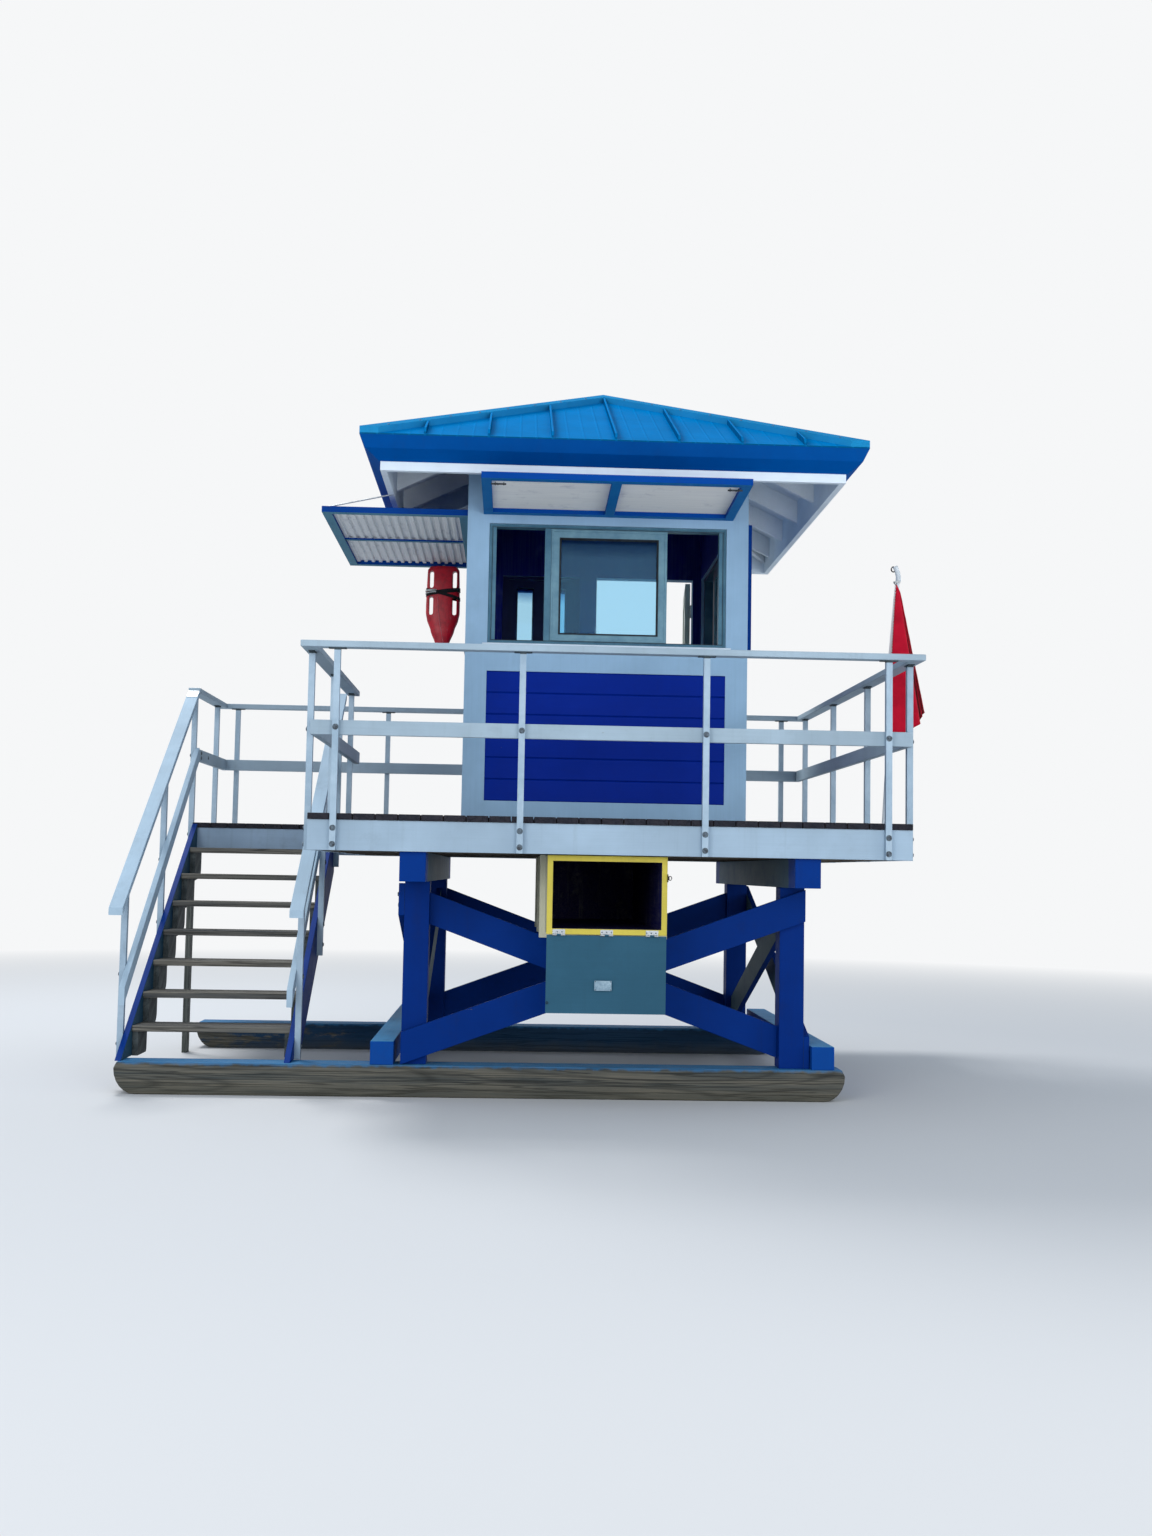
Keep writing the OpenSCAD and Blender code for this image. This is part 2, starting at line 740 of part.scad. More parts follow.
module shutter_frame(w, l, bars) difference() {
    block([-w / 2, -l, 0], [w / 2, 0, shutter_t]);
    for (k = [0:bars]) {
        bay = (w - shutter_bar) / (bars + 1);
        block([-w / 2 + k * bay + shutter_bar, -l + shutter_bar, -1],
              [-w / 2 + (k + 1) * bay, -shutter_bar, shutter_t + 1]);
    }
}

module flat_shutter(w, l) {
    shutter_frame(w, l, 1);
    block([-w / 2 + 1, -l + 1, shutter_t - shutter_panel], [w / 2 - 1, -1, shutter_t - 1]);
}

// Corrugated sheet with its ribs along the wall
module corrugated_shutter(w, l) {
    shutter_frame(w, l, 0);
    inner = l - 2 * shutter_bar;
    ribs = floor(inner / rib_pitch);
    pitch = inner / ribs;
    sheet_z = shutter_t - rib_deep - 6;
    sidewise(-w / 2 + shutter_bar, w / 2 - shutter_bar) polygon(concat(
        [for (k = [0:ribs - 1]) each [
            [-l + shutter_bar + k * pitch, sheet_z],
            [-l + shutter_bar + (k + 0.38) * pitch, sheet_z],
            [-l + shutter_bar + (k + 0.5) * pitch, sheet_z + rib_deep],
            [-l + shutter_bar + (k + 0.88) * pitch, sheet_z + rib_deep]]],
        [[-shutter_bar, sheet_z], [-shutter_bar, shutter_t - 1], [-l + shutter_bar, shutter_t - 1]]));
    block([-shutter_bar / 3, -l + shutter_bar, sheet_z - 12], [shutter_bar / 3, -shutter_bar, sheet_z]);
}

// Room for the rear top edge of the tilted shutter
tilt_room = shutter_t * sin(shutter_tilt) + fit;
module front_shutter() color(cobalt)
    translate([0, -cabin_half - tilt_room, shutter_z]) rotate([-shutter_tilt, 0, 0])
        flat_shutter(front_shutter_w, front_shutter_l);

module left_shutter() color(deep_blue)
    rotate(-90) translate([0, -cabin_half, shutter_z]) corrugated_shutter(left_shutter_w, left_shutter_l);

module right_shutter() color(deep_blue)
    rotate(90) translate([0, -cabin_half - fit, shutter_z]) rotate([90, 0, 0])
        corrugated_shutter(front_shutter_w, front_shutter_l);

rear_shutter_w = rear_window_w + 90;
module rear_shutter() color(cobalt)
    rotate(180) translate([-rear_window_x - rear_window_w / 2, -cabin_half, shutter_z])
        flat_shutter(rear_shutter_w, rear_shutter_l);

// Thin stays from the outer corners of the open shutters back to the white inner fascia
stay_r = 5;
module stay(x, reach, low) intersection() {
    far = cabin_half + reach - shutter_bar / 2;
    run = far - subfascia_r + joist_t / 2;
    translate([x, -far, low]) rotate([-atan(run / (subfascia_low - low)), 0, 0])
        translate([0, 0, -tall / 2]) cylinder(r = stay_r, h = tall, $fn = 24);
    block([x - 50, -far - 50, low + fit], [x + 50, -cabin_half, subfascia_low - fit]);
}

module shutter_stays() color(steel) {
    flat_top = shutter_z + shutter_t;
    front_arm = front_shutter_l - shutter_bar / 2;
    for (x = [-1, 1]) {
        stay(x * (front_shutter_w - shutter_bar) / 2, front_shutter_l,
            shutter_z + shutter_t / cos(shutter_tilt) + (front_arm + tilt_room) * tan(shutter_tilt));
        rotate(-90) stay(x * (left_shutter_w - shutter_bar) / 2, left_shutter_l, flat_top);
        rotate(180) stay(-rear_window_x - rear_window_w / 2 + x * (rear_shutter_w - shutter_bar) / 2,
            rear_shutter_l, flat_top);
    }
}

// Roof

// Everything nearer to the front side than to the other three
module front_quarter(gap) translate([0, -gap, 0])
    linear_extrude(tall) polygon([[0, 0], [-tall, -tall], [tall, -tall]]);

// A slab under the front slope, from r0 out to r1, between two vertical offsets
module slope_slab(r0, r1, up, down) sidewise(-r1 - 1, r1 + 1) polygon([
    [-r0, roof_z(r0) + up], [-r1, roof_z(r1) + up], [-r1, roof_z(r1) - down], [-r0, roof_z(r0) - down]]);

module rafter_outline(r0, r1) polygon([
    [-r0, roof_z(r0) - rafter_drop], [-r1, roof_z(r1) - rafter_drop],
    [-r1, roof_z(r1) - rafter_drop - rafter_h], [-r0, roof_z(r0) - rafter_drop - rafter_h]]);

hip_seat = rafter_t / sqrt(2) + mitre_gap;
rafter_n = floor((rafter_end - 2 * rafter_t) / rafter_pitch);
module common_rafters() each_side() intersection() {
    for (k = [-rafter_n:rafter_n])
        sidewise(k * rafter_pitch - rafter_t / 2, k * rafter_pitch + rafter_t / 2)
            rafter_outline(abs(k) * rafter_pitch, rafter_end);
    front_quarter(hip_seat);
}

// Hip rafters, lowered so that their edges meet the boards of both slopes
hip_backing = roof_slope * rafter_t / 2 / sqrt(2);
module hip_rafters() intersection() {
    for (turn = [0:3]) rotate(45 + 90 * turn) sidewise(-rafter_t / 2, rafter_t / 2) polygon([
        for (end = [[rafter_t, 0], [eave_r, 0], [eave_r, rafter_h], [rafter_t, rafter_h]])
            [-end[0] * sqrt(2), roof_z(end[0]) - rafter_drop - hip_backing - end[1]]]);
    block([-rafter_end, -rafter_end, floor_z], [rafter_end, rafter_end, tall]);
}

module rafters() color(white_paint) difference() {
    union() {
        common_rafters();
        hip_rafters();
    }
    translate([-cabin_half, -cabin_half, floor_z]) cube([cabin_w, cabin_w, wall_top - floor_z]);
}

subfascia_low = roof_z(subfascia_r) - rafter_drop - subfascia_h;
module sub_fascia() color(white_paint) each_side() intersection() {
    sidewise(-subfascia_r, subfascia_r) polygon([
        [-subfascia_r, subfascia_low], [-rafter_end, subfascia_low],
        [-rafter_end, roof_z(rafter_end) - rafter_drop], [-subfascia_r, roof_z(subfascia_r) - rafter_drop]]);
    front_quarter(mitre_gap);
}

module roof_fascia() color(deep_blue) each_side() intersection() {
    inner = subfascia_r + fit;
    low = roof_z(eave_r) - fascia_h;
    sidewise(-eave_r, eave_r) polygon([
        [-eave_r, roof_z(eave_r) - roof_sheet - fit], [-eave_r + fascia_in * 0.3, low + fascia_h * 0.42],
        [-eave_r + fascia_in, low], [-inner, low], [-inner, roof_z(inner) - roof_sheet - fit]]);
    front_quarter(mitre_gap);
}

module roof_boards() color(white_paint) each_side() intersection() {
    slope_slab(0, subfascia_r, -board_drop, rafter_drop);
    front_quarter(mitre_gap);
}

seam_n = floor((eave_r - cap_half * 2) / seam_pitch);
module roof_panels() color(azure) each_side() {
    intersection() {
        slope_slab(0, eave_r, 0, roof_sheet);
        front_quarter(mitre_gap);
    }
    for (k = [-seam_n:seam_n]) {
        x = k * seam_pitch;
        start = abs(x) + cap_half * sqrt(2) + seam_w / 2 + fit;
        sidewise(x - seam_w / 2, x + seam_w / 2) polygon([
            [-start, roof_z(start) - 1], [-eave_r + 12, roof_z(eave_r - 12) - 1],
            [-eave_r + 12, roof_z(eave_r - 12) + seam_h * 0.4], [-eave_r + 30, roof_z(eave_r - 30) + seam_h],
            [-start, roof_z(start) + seam_h]]);
    }
}

module hip_caps() color(azure) intersection() {
    each_side() intersection() {
        slope_slab(0, eave_r, seam_h + 4, -fit);
        front_quarter(0);
    }
    for (turn = [0, 90]) rotate(45 + turn)
        translate([-cap_half, -tall / 2, 0]) cube([2 * cap_half, tall, tall]);
}

// Board locker under the deck

module locker_hangers() color(cream)
    for (y = [for (k = [1, 3, 5]) -joist_reach + k * joist_pitch - rail_w / 2])
        difference() {
            block([locker_x - locker_w / 2 - rail_t, y, locker_low - rail_t],
                  [locker_x + locker_w / 2 + rail_t, y + rail_w, rim_bottom]);
            block([locker_x - locker_w / 2 - fit, y - 1, locker_low - fit],
                  [locker_x + locker_w / 2 + fit, y + rail_w + 1, rim_bottom + 1]);
        }

module locker_box() color(cream) difference() {
    block([locker_x - locker_w / 2, locker_y + mouth_d, locker_low],
          [locker_x + locker_w / 2, locker_y + locker_l, locker_top]);
    block([locker_x - locker_w / 2 + locker_t, locker_y + mouth_d - 1, locker_low + locker_t],
          [locker_x + locker_w / 2 - locker_t, locker_y + locker_l - locker_t, locker_top - locker_t]);
}

module locker_mouth() color(signal_yellow) difference() {
    block([locker_x - locker_w / 2, locker_y, locker_low],
          [locker_x + locker_w / 2, locker_y + mouth_d, locker_top]);
    block([locker_x - locker_w / 2 + mouth_w, locker_y - 1, locker_low + mouth_w],
          [locker_x + locker_w / 2 - mouth_w, locker_y + mouth_d + 1, locker_top - mouth_w]);
}

// Butt hinges: the frame carries the outer knuckles, the flap the middle ones
knuckle = hinge_l / 3;
module knuckles(x0, x1) translate([x0, hinge_y, hinge_z]) rotate([0, 90, 0])
    cylinder(r = barrel_r, h = x1 - x0, $fn = 32);

module locker_hinges()
    for (x = hinge_xs) translate([locker_x + x, 0, 0]) {
        for (side = [-1, 1]) {
            a = side < 0 ? -hinge_l / 2 : knuckle / 2 + fit;
            knuckles(a, a + knuckle - fit);
            block([a, hinge_y, hinge_z + 2], [a + knuckle - fit, locker_y - leaf_t / 2, hinge_z + 4.5]);
        }
        block([-hinge_l / 2, locker_y - leaf_t, hinge_z + 3], [hinge_l / 2, locker_y, locker_low + mouth_w - 4]);
    }

module locker_flap() color(slate) {
    top = locker_low - flap_gap;
    block([locker_x - locker_w / 2 + 2, locker_y, top - flap_h], [locker_x + locker_w / 2 - 2, locker_y + flap_t, top]);
    for (x = hinge_xs) translate([locker_x + x, 0, 0]) {
        knuckles(-knuckle / 2, knuckle / 2);
        block([-knuckle / 2, hinge_y, hinge_z - 4.5], [knuckle / 2, locker_y - leaf_t / 2, hinge_z - 2]);
        block([-knuckle / 2, locker_y - leaf_t, hinge_z - 9], [knuckle / 2, locker_y, hinge_z - 2]);
        block([-hinge_l / 2, locker_y - leaf_t, hinge_z - 34], [hinge_l / 2, locker_y, hinge_z - 8]);
    }
}

// Rear door, standing open about its outer edge on three hinges
door_hinge_zs = [for (share = [0.115, 0.482, 0.884]) doorway_h * share];
door_knuckle = 34;
module door_knuckles(low, high) translate([door_hinge_x, door_hinge_y, low])
    cylinder(r = barrel_r, h = high - low, $fn = 32);

module door_hinges()
    for (z = door_hinge_zs) {
        for (side = [-1, 1]) {
            a = floor_z + z + (side < 0 ? -door_knuckle * 1.5 : door_knuckle / 2 + fit);
            door_knuckles(a, a + door_knuckle - fit);
            block([door_hinge_x + 2, cabin_half, a], [door_hinge_x + 4.5, door_hinge_y, a + door_knuckle - fit]);
        }
        block([door_hinge_x + 2, cabin_half, floor_z + z - door_knuckle * 1.5],
              [door_hinge_x + 44, cabin_half + leaf_t, floor_z + z + door_knuckle * 1.5]);
    }

module hinges() color(steel) {
    locker_hinges();
    door_hinges();
}

module door_leaf() {
    low = floor_z + door_gap;
    high = floor_z + doorway_h - door_gap;
    stile = 105;
    lock_rail = low + doorway_h * 0.442;
    left = door_x + door_gap;
    right = door_hinge_x - door_gap;
    difference() {
        block([left, cabin_half - door_t, low], [right, cabin_half, high]);
        for (z = [[low + 1.6 * stile, lock_rail], [lock_rail + stile, high - stile]],
             y = [cabin_half - door_t - 1, cabin_half - 8])
            block([left + stile, y, z[0]], [right - stile, y + 9, z[1]]);
    }
    for (z = door_hinge_zs) {
        block([right - 38, cabin_half - 1, floor_z + z - door_knuckle * 1.5],
              [right, cabin_half + leaf_t, floor_z + z + door_knuckle * 1.5]);
        block([right - 1, cabin_half, floor_z + z - door_knuckle / 2],
              [door_hinge_x - 2, cabin_half + leaf_t, floor_z + z + door_knuckle / 2]);
        block([door_hinge_x - 4.5, cabin_half, floor_z + z - door_knuckle / 2],
              [door_hinge_x - 2, door_hinge_y, floor_z + z + door_knuckle / 2]);
        door_knuckles(floor_z + z - door_knuckle / 2, floor_z + z + door_knuckle / 2);
    }
    for (y = [cabin_half - door_t - 34, cabin_half])
        translate([left + 62, y, low + handle_h]) rotate([-90, 0, 0]) cylinder(r = 24, h = 34, $fn = 32);
}

module rear_door() color(white_paint)
    translate([door_hinge_x, door_hinge_y, 0]) rotate(-door_open)
        translate([-door_hinge_x, -door_hinge_y, 0]) door_leaf();

// Rescue gear

can_x = -cabin_half - 242;
can_y = left_shutter_w / 2 - can_d / 2;
can_top = shutter_z - 4;

// Outline of the float: blunt foot, widest above the taper, nearly straight to the rounded head
module can_outline(half) polygon([for (side = [-1, 1], k = [0:8]) let (
    i = side < 0 ? k : 8 - k,
    w = [0.34, 0.42, 0.70, 0.93, 1.00, 1.00, 0.97, 0.94, 0.78][i],
    z = [0.000, 0.015, 0.18, 0.32, 0.40, 0.50, 0.72, 0.955, 1.000][i]) [side * half * w, can_l * z]]);

// Grab slots near both edges, one above and one below the strap
module can_slot(side, low, high) hull()
    for (z = [low, high]) translate([side * can_w * 0.335, can_l * z]) circle(r = can_w * 0.058, $fn = 20);

module rescue_can() color(signal_red) translate([can_x, can_y, can_top - can_l]) {
    difference() {
        intersection() {
            upright(-can_d / 2, can_d / 2) can_outline(can_w / 2);
            sidewise(-can_w / 2, can_w / 2) can_outline(can_d / 2);
        }
        for (side = [-1, 1]) {
            upright(-can_d, can_d) can_slot(side, 0.38, 0.56);
            upright(-can_d, can_d) can_slot(side, 0.70, 0.87);
        }
    }
    translate([0, 0, can_l - 1]) cylinder(r = 8, h = shutter_z - can_top + 1 - fit, $fn = 24);
}

// The pole stands against the right rim and leans out over the edge of the top rail
pole_y = -deck_half + pole_back;
pole_foot = rim_bottom + 30;
pole_seat = rail_top - rail_t;
pole_x = deck_half + pole_r + 2 * fit;
pole_lean = atan((rail_out - deck_half) / (pole_seat - pole_foot));
pole_top = rim_top + pole_h;
module flag_pole() color(white_paint)
    translate([pole_x, pole_y, pole_foot]) rotate([0, pole_lean, 0])
        cylinder(r = pole_r, h = (pole_top - pole_foot) / cos(pole_lean), $fn = 32);

// Limp cloth that hangs from the head of the pole in a few soft folds
flag_top = pole_top - 40;
function pole_edge(z) = pole_x + (z - pole_foot) * tan(pole_lean) + pole_r / cos(pole_lean) + fit;
module flag() color(signal_red) {
    low = flag_top - flag_h;
    near = pole_edge(rail_top);
    upright(pole_y - 20, pole_y + 20) polygon([
        [pole_edge(flag_top), flag_top], [pole_edge(rail_top), rail_top], [near, low],
        [near + (flag_far - near) * 0.68, low], [flag_far, low + flag_h * 0.09], [flag_far, low + flag_h * 0.22],
        [near + (flag_far - near) * 0.74, low + flag_h * 0.55], [pole_edge(flag_top) + flag_w * 0.12, flag_top]]);
}

site() runners();
site() sills();
site() base_posts();
site() braces();
site() girders();
site() end_rims();
site() side_rims();
site() floor_joists();
site() deck_boards();
site() landing_frame();
site() landing_legs();
site() stair_stringers();
site() stair_carriages();
site() stair_treads();
site() stair_rails();
site() rail_posts();
site() front_rear_rails();
site() side_rails();
site() front_wall();
site() side_walls();
site() rear_wall();
site() door_jamb_wall();
site() door_head_wall();
site() siding_panels();
site() sill_trim();
site() window_frames();
site() window_sashes();
site() window_glass();
site() front_shutter();
site() left_shutter();
site() right_shutter();
site() rear_shutter();
site() shutter_stays();
site() rafters();
site() sub_fascia();
site() roof_fascia();
site() roof_boards();
site() roof_panels();
site() hip_caps();
site() locker_hangers();
site() locker_box();
site() locker_mouth();
site() locker_flap();
site() hinges();
site() rear_door();
site() rescue_can();
site() flag_pole();
site() flag();
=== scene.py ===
"""Looks of a lifeguard tower: painted timber cabin on a railed deck, sled runners, side stair."""
import math

import bmesh
import bpy
from mathutils import Matrix, Vector
from mathutils.bvhtree import BVHTree


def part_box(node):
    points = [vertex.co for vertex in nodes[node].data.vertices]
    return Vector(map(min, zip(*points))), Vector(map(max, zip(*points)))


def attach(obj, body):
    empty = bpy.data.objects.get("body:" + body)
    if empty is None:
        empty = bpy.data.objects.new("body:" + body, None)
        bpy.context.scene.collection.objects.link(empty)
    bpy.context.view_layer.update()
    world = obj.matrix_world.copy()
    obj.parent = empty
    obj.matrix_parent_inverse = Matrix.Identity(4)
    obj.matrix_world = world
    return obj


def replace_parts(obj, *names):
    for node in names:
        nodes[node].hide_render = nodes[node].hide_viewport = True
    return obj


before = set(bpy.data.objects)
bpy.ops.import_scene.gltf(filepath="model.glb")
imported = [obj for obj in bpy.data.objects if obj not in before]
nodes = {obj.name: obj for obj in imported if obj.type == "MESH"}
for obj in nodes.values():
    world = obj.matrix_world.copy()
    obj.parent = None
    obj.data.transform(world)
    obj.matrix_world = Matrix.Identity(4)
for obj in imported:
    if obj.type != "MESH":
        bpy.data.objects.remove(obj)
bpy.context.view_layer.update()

# Camera, at the place of the photograph: before the tower, a little left of its middle,
# looking slightly up, with the picture leaning one degree.


def placed(name, data):
    """A new object in the scene."""
    made = bpy.data.objects.new(name, data)
    bpy.context.scene.collection.objects.link(made)
    return made


eye = (-0.0951, -10.8706, 1.4256)
turn, tilt, lean = (math.radians(angle) for angle in (2.315, 3.953, 1.021))
look = Vector((math.sin(turn) * math.cos(tilt), math.cos(turn) * math.cos(tilt), math.sin(tilt)))
level = Vector((math.cos(turn), -math.sin(turn), 0))
upright = level.cross(look)
side = level * math.cos(lean) + upright * math.sin(lean)
top = upright * math.cos(lean) - level * math.sin(lean)
lens = bpy.data.cameras.new("camera")
lens.sensor_fit = "VERTICAL"
lens.sensor_height = 36
lens.lens = 35.2
lens.clip_end = 200
camera = placed("camera", lens)
camera.matrix_world = Matrix.Translation(eye) @ Matrix((side, top, -look)).transposed().to_4x4()
bpy.context.scene.camera = camera
bpy.context.scene.view_settings.view_transform = "Standard"

# Runners: two long squared timbers with upturned noses, on which the whole tower is dragged to its
# place. Bare pine gone grey-brown, with a wash of pale blue left on their tops.


class Signal:
    """A number that changes over a surface. Sums, products and powers of signals become Math nodes."""

    def __init__(self, finish, socket):
        self.finish = finish
        self.socket = socket

    def maths(self, operation, a, b, clamp=False):
        """A Math node over two signals or numbers."""
        return self.finish.node("Math", {"operation": operation, "use_clamp": clamp}, **{"0": a, "1": b})

    def __add__(self, other):
        return self.maths("ADD", self, other)

    def __radd__(self, other):
        return self.maths("ADD", other, self)

    def __sub__(self, other):
        return self.maths("SUBTRACT", self, other)

    def __rsub__(self, other):
        return self.maths("SUBTRACT", other, self)

    def __mul__(self, other):
        return self.maths("MULTIPLY", self, other)

    def __rmul__(self, other):
        return self.maths("MULTIPLY", other, self)

    def __truediv__(self, other):
        return self.maths("DIVIDE", self, other)

    def __pow__(self, other):
        return self.maths("POWER", self, other)

    def past(self, low, high):
        """0 below low, 1 above high, even between."""
        return self.maths("MULTIPLY", self - low, 1 / (high - low), clamp=True)

    def floor(self):
        return self.maths("FLOOR", self, 0)

    def away(self):
        """Without its sign."""
        return self.maths("ABSOLUTE", self, 0)

    def zigzag(self):
        """Up and down between 0 and 1, once every 2."""
        return self.maths("PINGPONG", self, 1)


class Wiring:
    """A node tree that is filled one node at a time. A kind without a family is a shader node."""

    def node(self, kind, settings=None, out=0, **values):
        """Adds a node. Its inputs go by name, with _ for a blank, or by number."""
        made = self.tree.nodes.new(kind if "Node" in kind else "ShaderNode" + kind)
        for name, value in (settings or {}).items():
            setattr(made, name, value)
        for name, value in values.items():
            key = int(name) if name.isdigit() else name.replace("_", " ")
            self.feed(made.inputs[key], value)
        return Signal(self, made.outputs[out])

    def feed(self, socket, value):
        """Links a signal, or several, to a socket, or sets the socket's own value."""
        if isinstance(value, Signal):
            self.tree.links.new(value.socket, socket)
        elif isinstance(value, list):
            for one in reversed(value):
                self.tree.links.new(one.socket, socket)
        elif socket.type == "RGBA" and len(value) == 3:
            socket.default_value = (*value, 1)
        else:
            socket.default_value = value


class Finish(Wiring):
    """A material with one Principled shader, built from nodes and signals."""

    def __init__(self, name, **fixed):
        self.material = bpy.data.materials.new(name)
        self.material.use_nodes = True
        self.tree = self.material.node_tree
        self.shader = self.tree.nodes["Principled BSDF"]
        for socket, value in fixed.items():
            self.shader.inputs[socket.replace("_", " ")].default_value = value

    def place(self, scale=(1, 1, 1), turned=(0, 0, 0)):
        """Object coordinates in metres, turned and then stretched."""
        here = self.node("TexCoord", out="Object")
        if any(turned):
            here = self.node("Mapping", Vector=here, Rotation=turned)
        return self.node("Mapping", Vector=here, Scale=scale)

    def axis(self, name, turned=(0, 0, 0)):
        """One coordinate in metres."""
        return self.node("SeparateXYZ", out=name, Vector=self.place(turned=turned))

    def facing(self, name):
        """How far the true surface looks along an axis, from -1 to 1."""
        return self.node("SeparateXYZ", out=name, Vector=self.node("NewGeometry", out="True Normal"))

    def noise(self, scale, detail=4, rough=0.6, stretch=(1, 1, 1), lumps=0.0, turned=(0, 0, 0)):
        """Cloudy patches. A higher scale makes them finer."""
        return self.node("TexNoise", Vector=self.place(stretch, turned), Scale=scale, Detail=detail,
                         Roughness=rough, Distortion=lumps)

    def each(self, step, axis="X", start=0.0):
        """A chance number from 0 to 1 that is one value over each board of the given pitch."""
        row = ((self.axis(axis) - start) / step).floor()
        return self.node("TexWhiteNoise", {"noise_dimensions": "1D"}, W=row)

    def mix(self, mask, a, b):
        """Colour a where the mask is 0, colour b where it is 1."""
        return self.node("Mix", {"data_type": "RGBA"}, out=2, **{"0": mask, "6": a, "7": b})

    def surface(self, colour, rough, bump=None, depth=0.002, metal=None):
        """Feeds the shader. The bump stands out by depth, in metres."""
        self.feed(self.shader.inputs["Base Color"], colour)
        self.feed(self.shader.inputs["Roughness"], rough)
        if metal is not None:
            self.feed(self.shader.inputs["Metallic"], metal)
        if bump is not None:
            relief = self.node("Bump", Height=bump, Distance=depth, Strength=1.0)
            self.feed(self.shader.inputs["Normal"], relief)


def paint(red, green, blue):
    """A colour as a colour card gives it, 0 to 255, turned to light."""
    return tuple((c / 255 / 12.92) if c < 10.3 else ((c / 255 + 0.055) / 1.055) ** 2.4
                 for c in (red, green, blue))


def shaded(colour, share, grey=0.0):
    """A colour made darker or paler, with some grey added."""
    return tuple(c * share + grey for c in colour)


def along(axis, thin=0.06):
    """A stretch that draws a pattern out along one axis, as grain lies in a board."""
    return tuple(thin if name == axis else 1.0 for name in "XYZ")


def bare_wood(name, pale, dark, axis, across, pitch=None, start=0.0, turned=(0, 0, 0), bold=1.0):
    """Weathered timber: growth bands, open fibres, checks, and a tone of its own for each board."""
    wood = Finish(name, Specular_IOR_Level=0.25)
    drift = wood.noise(2.2, 3, 0.5, along(axis, 0.12), 0.4, turned)
    bands = ((wood.axis(across, turned) + drift * 0.34) * 21).zigzag()
    fibre = wood.noise(150, 3, 0.6, along(axis, 0.022), 0, turned)
    patch = wood.noise(3.5, 5, 0.62, along(axis, 0.3), 0.6, turned)
    cracks = wood.noise(46, 2, 0.5, along(axis, 0.018), 0.15, turned)
    checks = 1 - (cracks - 0.5).away().past(0.006, 0.028)
    tone = bands.past(0.15, 0.95) * 0.38 * bold + fibre.past(0.3, 0.72) * 0.4 + patch.past(0.32, 0.7) * 0.35
    if pitch:
        tone = tone + (wood.each(pitch, across, start) - 0.5) * 0.42
    colour = wood.mix(tone.past(0.12, 1.02), dark, pale)
    colour = wood.mix(checks * 0.62, colour, shaded(dark, 0.28))
    relief = fibre * 0.5 + bands * 0.22 * bold - checks * 0.8
    return wood, colour, relief, 0.55 + 0.25 * fibre


runner_wood, colour, relief, rough = bare_wood("runner_wood", paint(122, 116, 102), paint(56, 63, 64),
                                               "X", "Z", bold=0.6)
# Long ovals where the grain was cut flat, old coat on the rear runner, wash on top, darker towards the foot
wander = runner_wood.noise(1.7, 3, 0.5, along("X", 0.35), 0.5)
hearts = runner_wood.node("TexVoronoi", out="Distance", Vector=runner_wood.place((0.42, 3.4, 4.6)), Scale=1.0)
ovals = ((hearts + wander * 0.5) * 11).zigzag().past(0.62, 0.98)
colour = runner_wood.mix(ovals * 0.6, colour, paint(44, 46, 44))
rear = runner_wood.axis("Y").past(0.0, 0.01)
old_coat = runner_wood.noise(11, 8, 0.72, along("X", 0.3)) + (runner_wood.axis("X") + 1.9) * 0.16
colour = runner_wood.mix(rear * old_coat.past(0.40, 0.50) * 0.95, colour, paint(0, 52, 86))
wash = runner_wood.noise(9, 6, 0.7, along("X", 0.3)).past(0.30, 0.44)
drips = (runner_wood.axis("Z") + runner_wood.noise(16, 3, 0.5) * 0.05).past(0.205, 0.222)
colour = runner_wood.mix(runner_wood.facing("Z").past(0.4, 0.9) * wash * 0.9, colour, paint(52, 128, 178))
colour = runner_wood.mix(drips * 0.7, colour, paint(40, 110, 160))
foot_darkening = 1 - (runner_wood.axis("Z") + runner_wood.noise(7, 4, 0.6) * 0.08).past(0.05, 0.14)
colour = runner_wood.mix(foot_darkening * 0.5, colour, paint(74, 72, 60))
runner_wood.surface(colour, rough, relief - ovals * 0.3, 0.003)


def piece(name, mesh, finish, body="tower"):
    """A mesh becomes a finished piece that rides on a body."""
    made = placed(name, mesh)
    mesh.name = name
    mesh.materials.clear()
    mesh.materials.append(finish.material)
    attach(made, body)
    return made


def settled(shape, name):
    """A shape that was being built becomes a mesh."""
    mesh = bpy.data.meshes.new(name)
    shape.to_mesh(mesh)
    shape.free()
    return mesh


def arrises(whole):
    """The sharp edges of a mesh, in one list for each solid in it."""
    unseen = set(whole.verts)
    groups = []
    while unseen:
        edges, reached = set(), [unseen.pop()]
        while reached:
            for link in reached.pop().link_edges:
                edges.add(link)
                for end in link.verts:
                    if end in unseen:
                        unseen.remove(end)
                        reached.append(end)
        groups.append([e for e in edges if len(e.link_faces) == 2 and e.calc_face_angle(0) > 0.45])
    return groups


def eased(finish, width, *names, slot=None, body="tower"):
    """Timber with its arrises rubbed round, made over a node's own solids, one solid at a time."""
    for name in names:
        whole = bmesh.new()
        whole.from_mesh(nodes[name].data)
        bmesh.ops.remove_doubles(whole, verts=whole.verts, dist=0.00002)
        bmesh.ops.dissolve_limit(whole, angle_limit=0.01, verts=whole.verts, edges=whole.edges)
        for sharp in arrises(whole):
            bmesh.ops.bevel(whole, geom=sharp, offset=width, segments=2, profile=0.6, affect="EDGES",
                            clamp_overlap=True)
        timber = name + "_timber"
        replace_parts(piece(timber, settled(whole, timber), finish, body), name)


eased(runner_wood, 0.008, "runners", slot="bare_timber")

# Sills: two short squared timbers laid across the runners outside the posts, to hold the posts apart.
# Light blue paint on top, a deeper blue on the ends and outer faces.


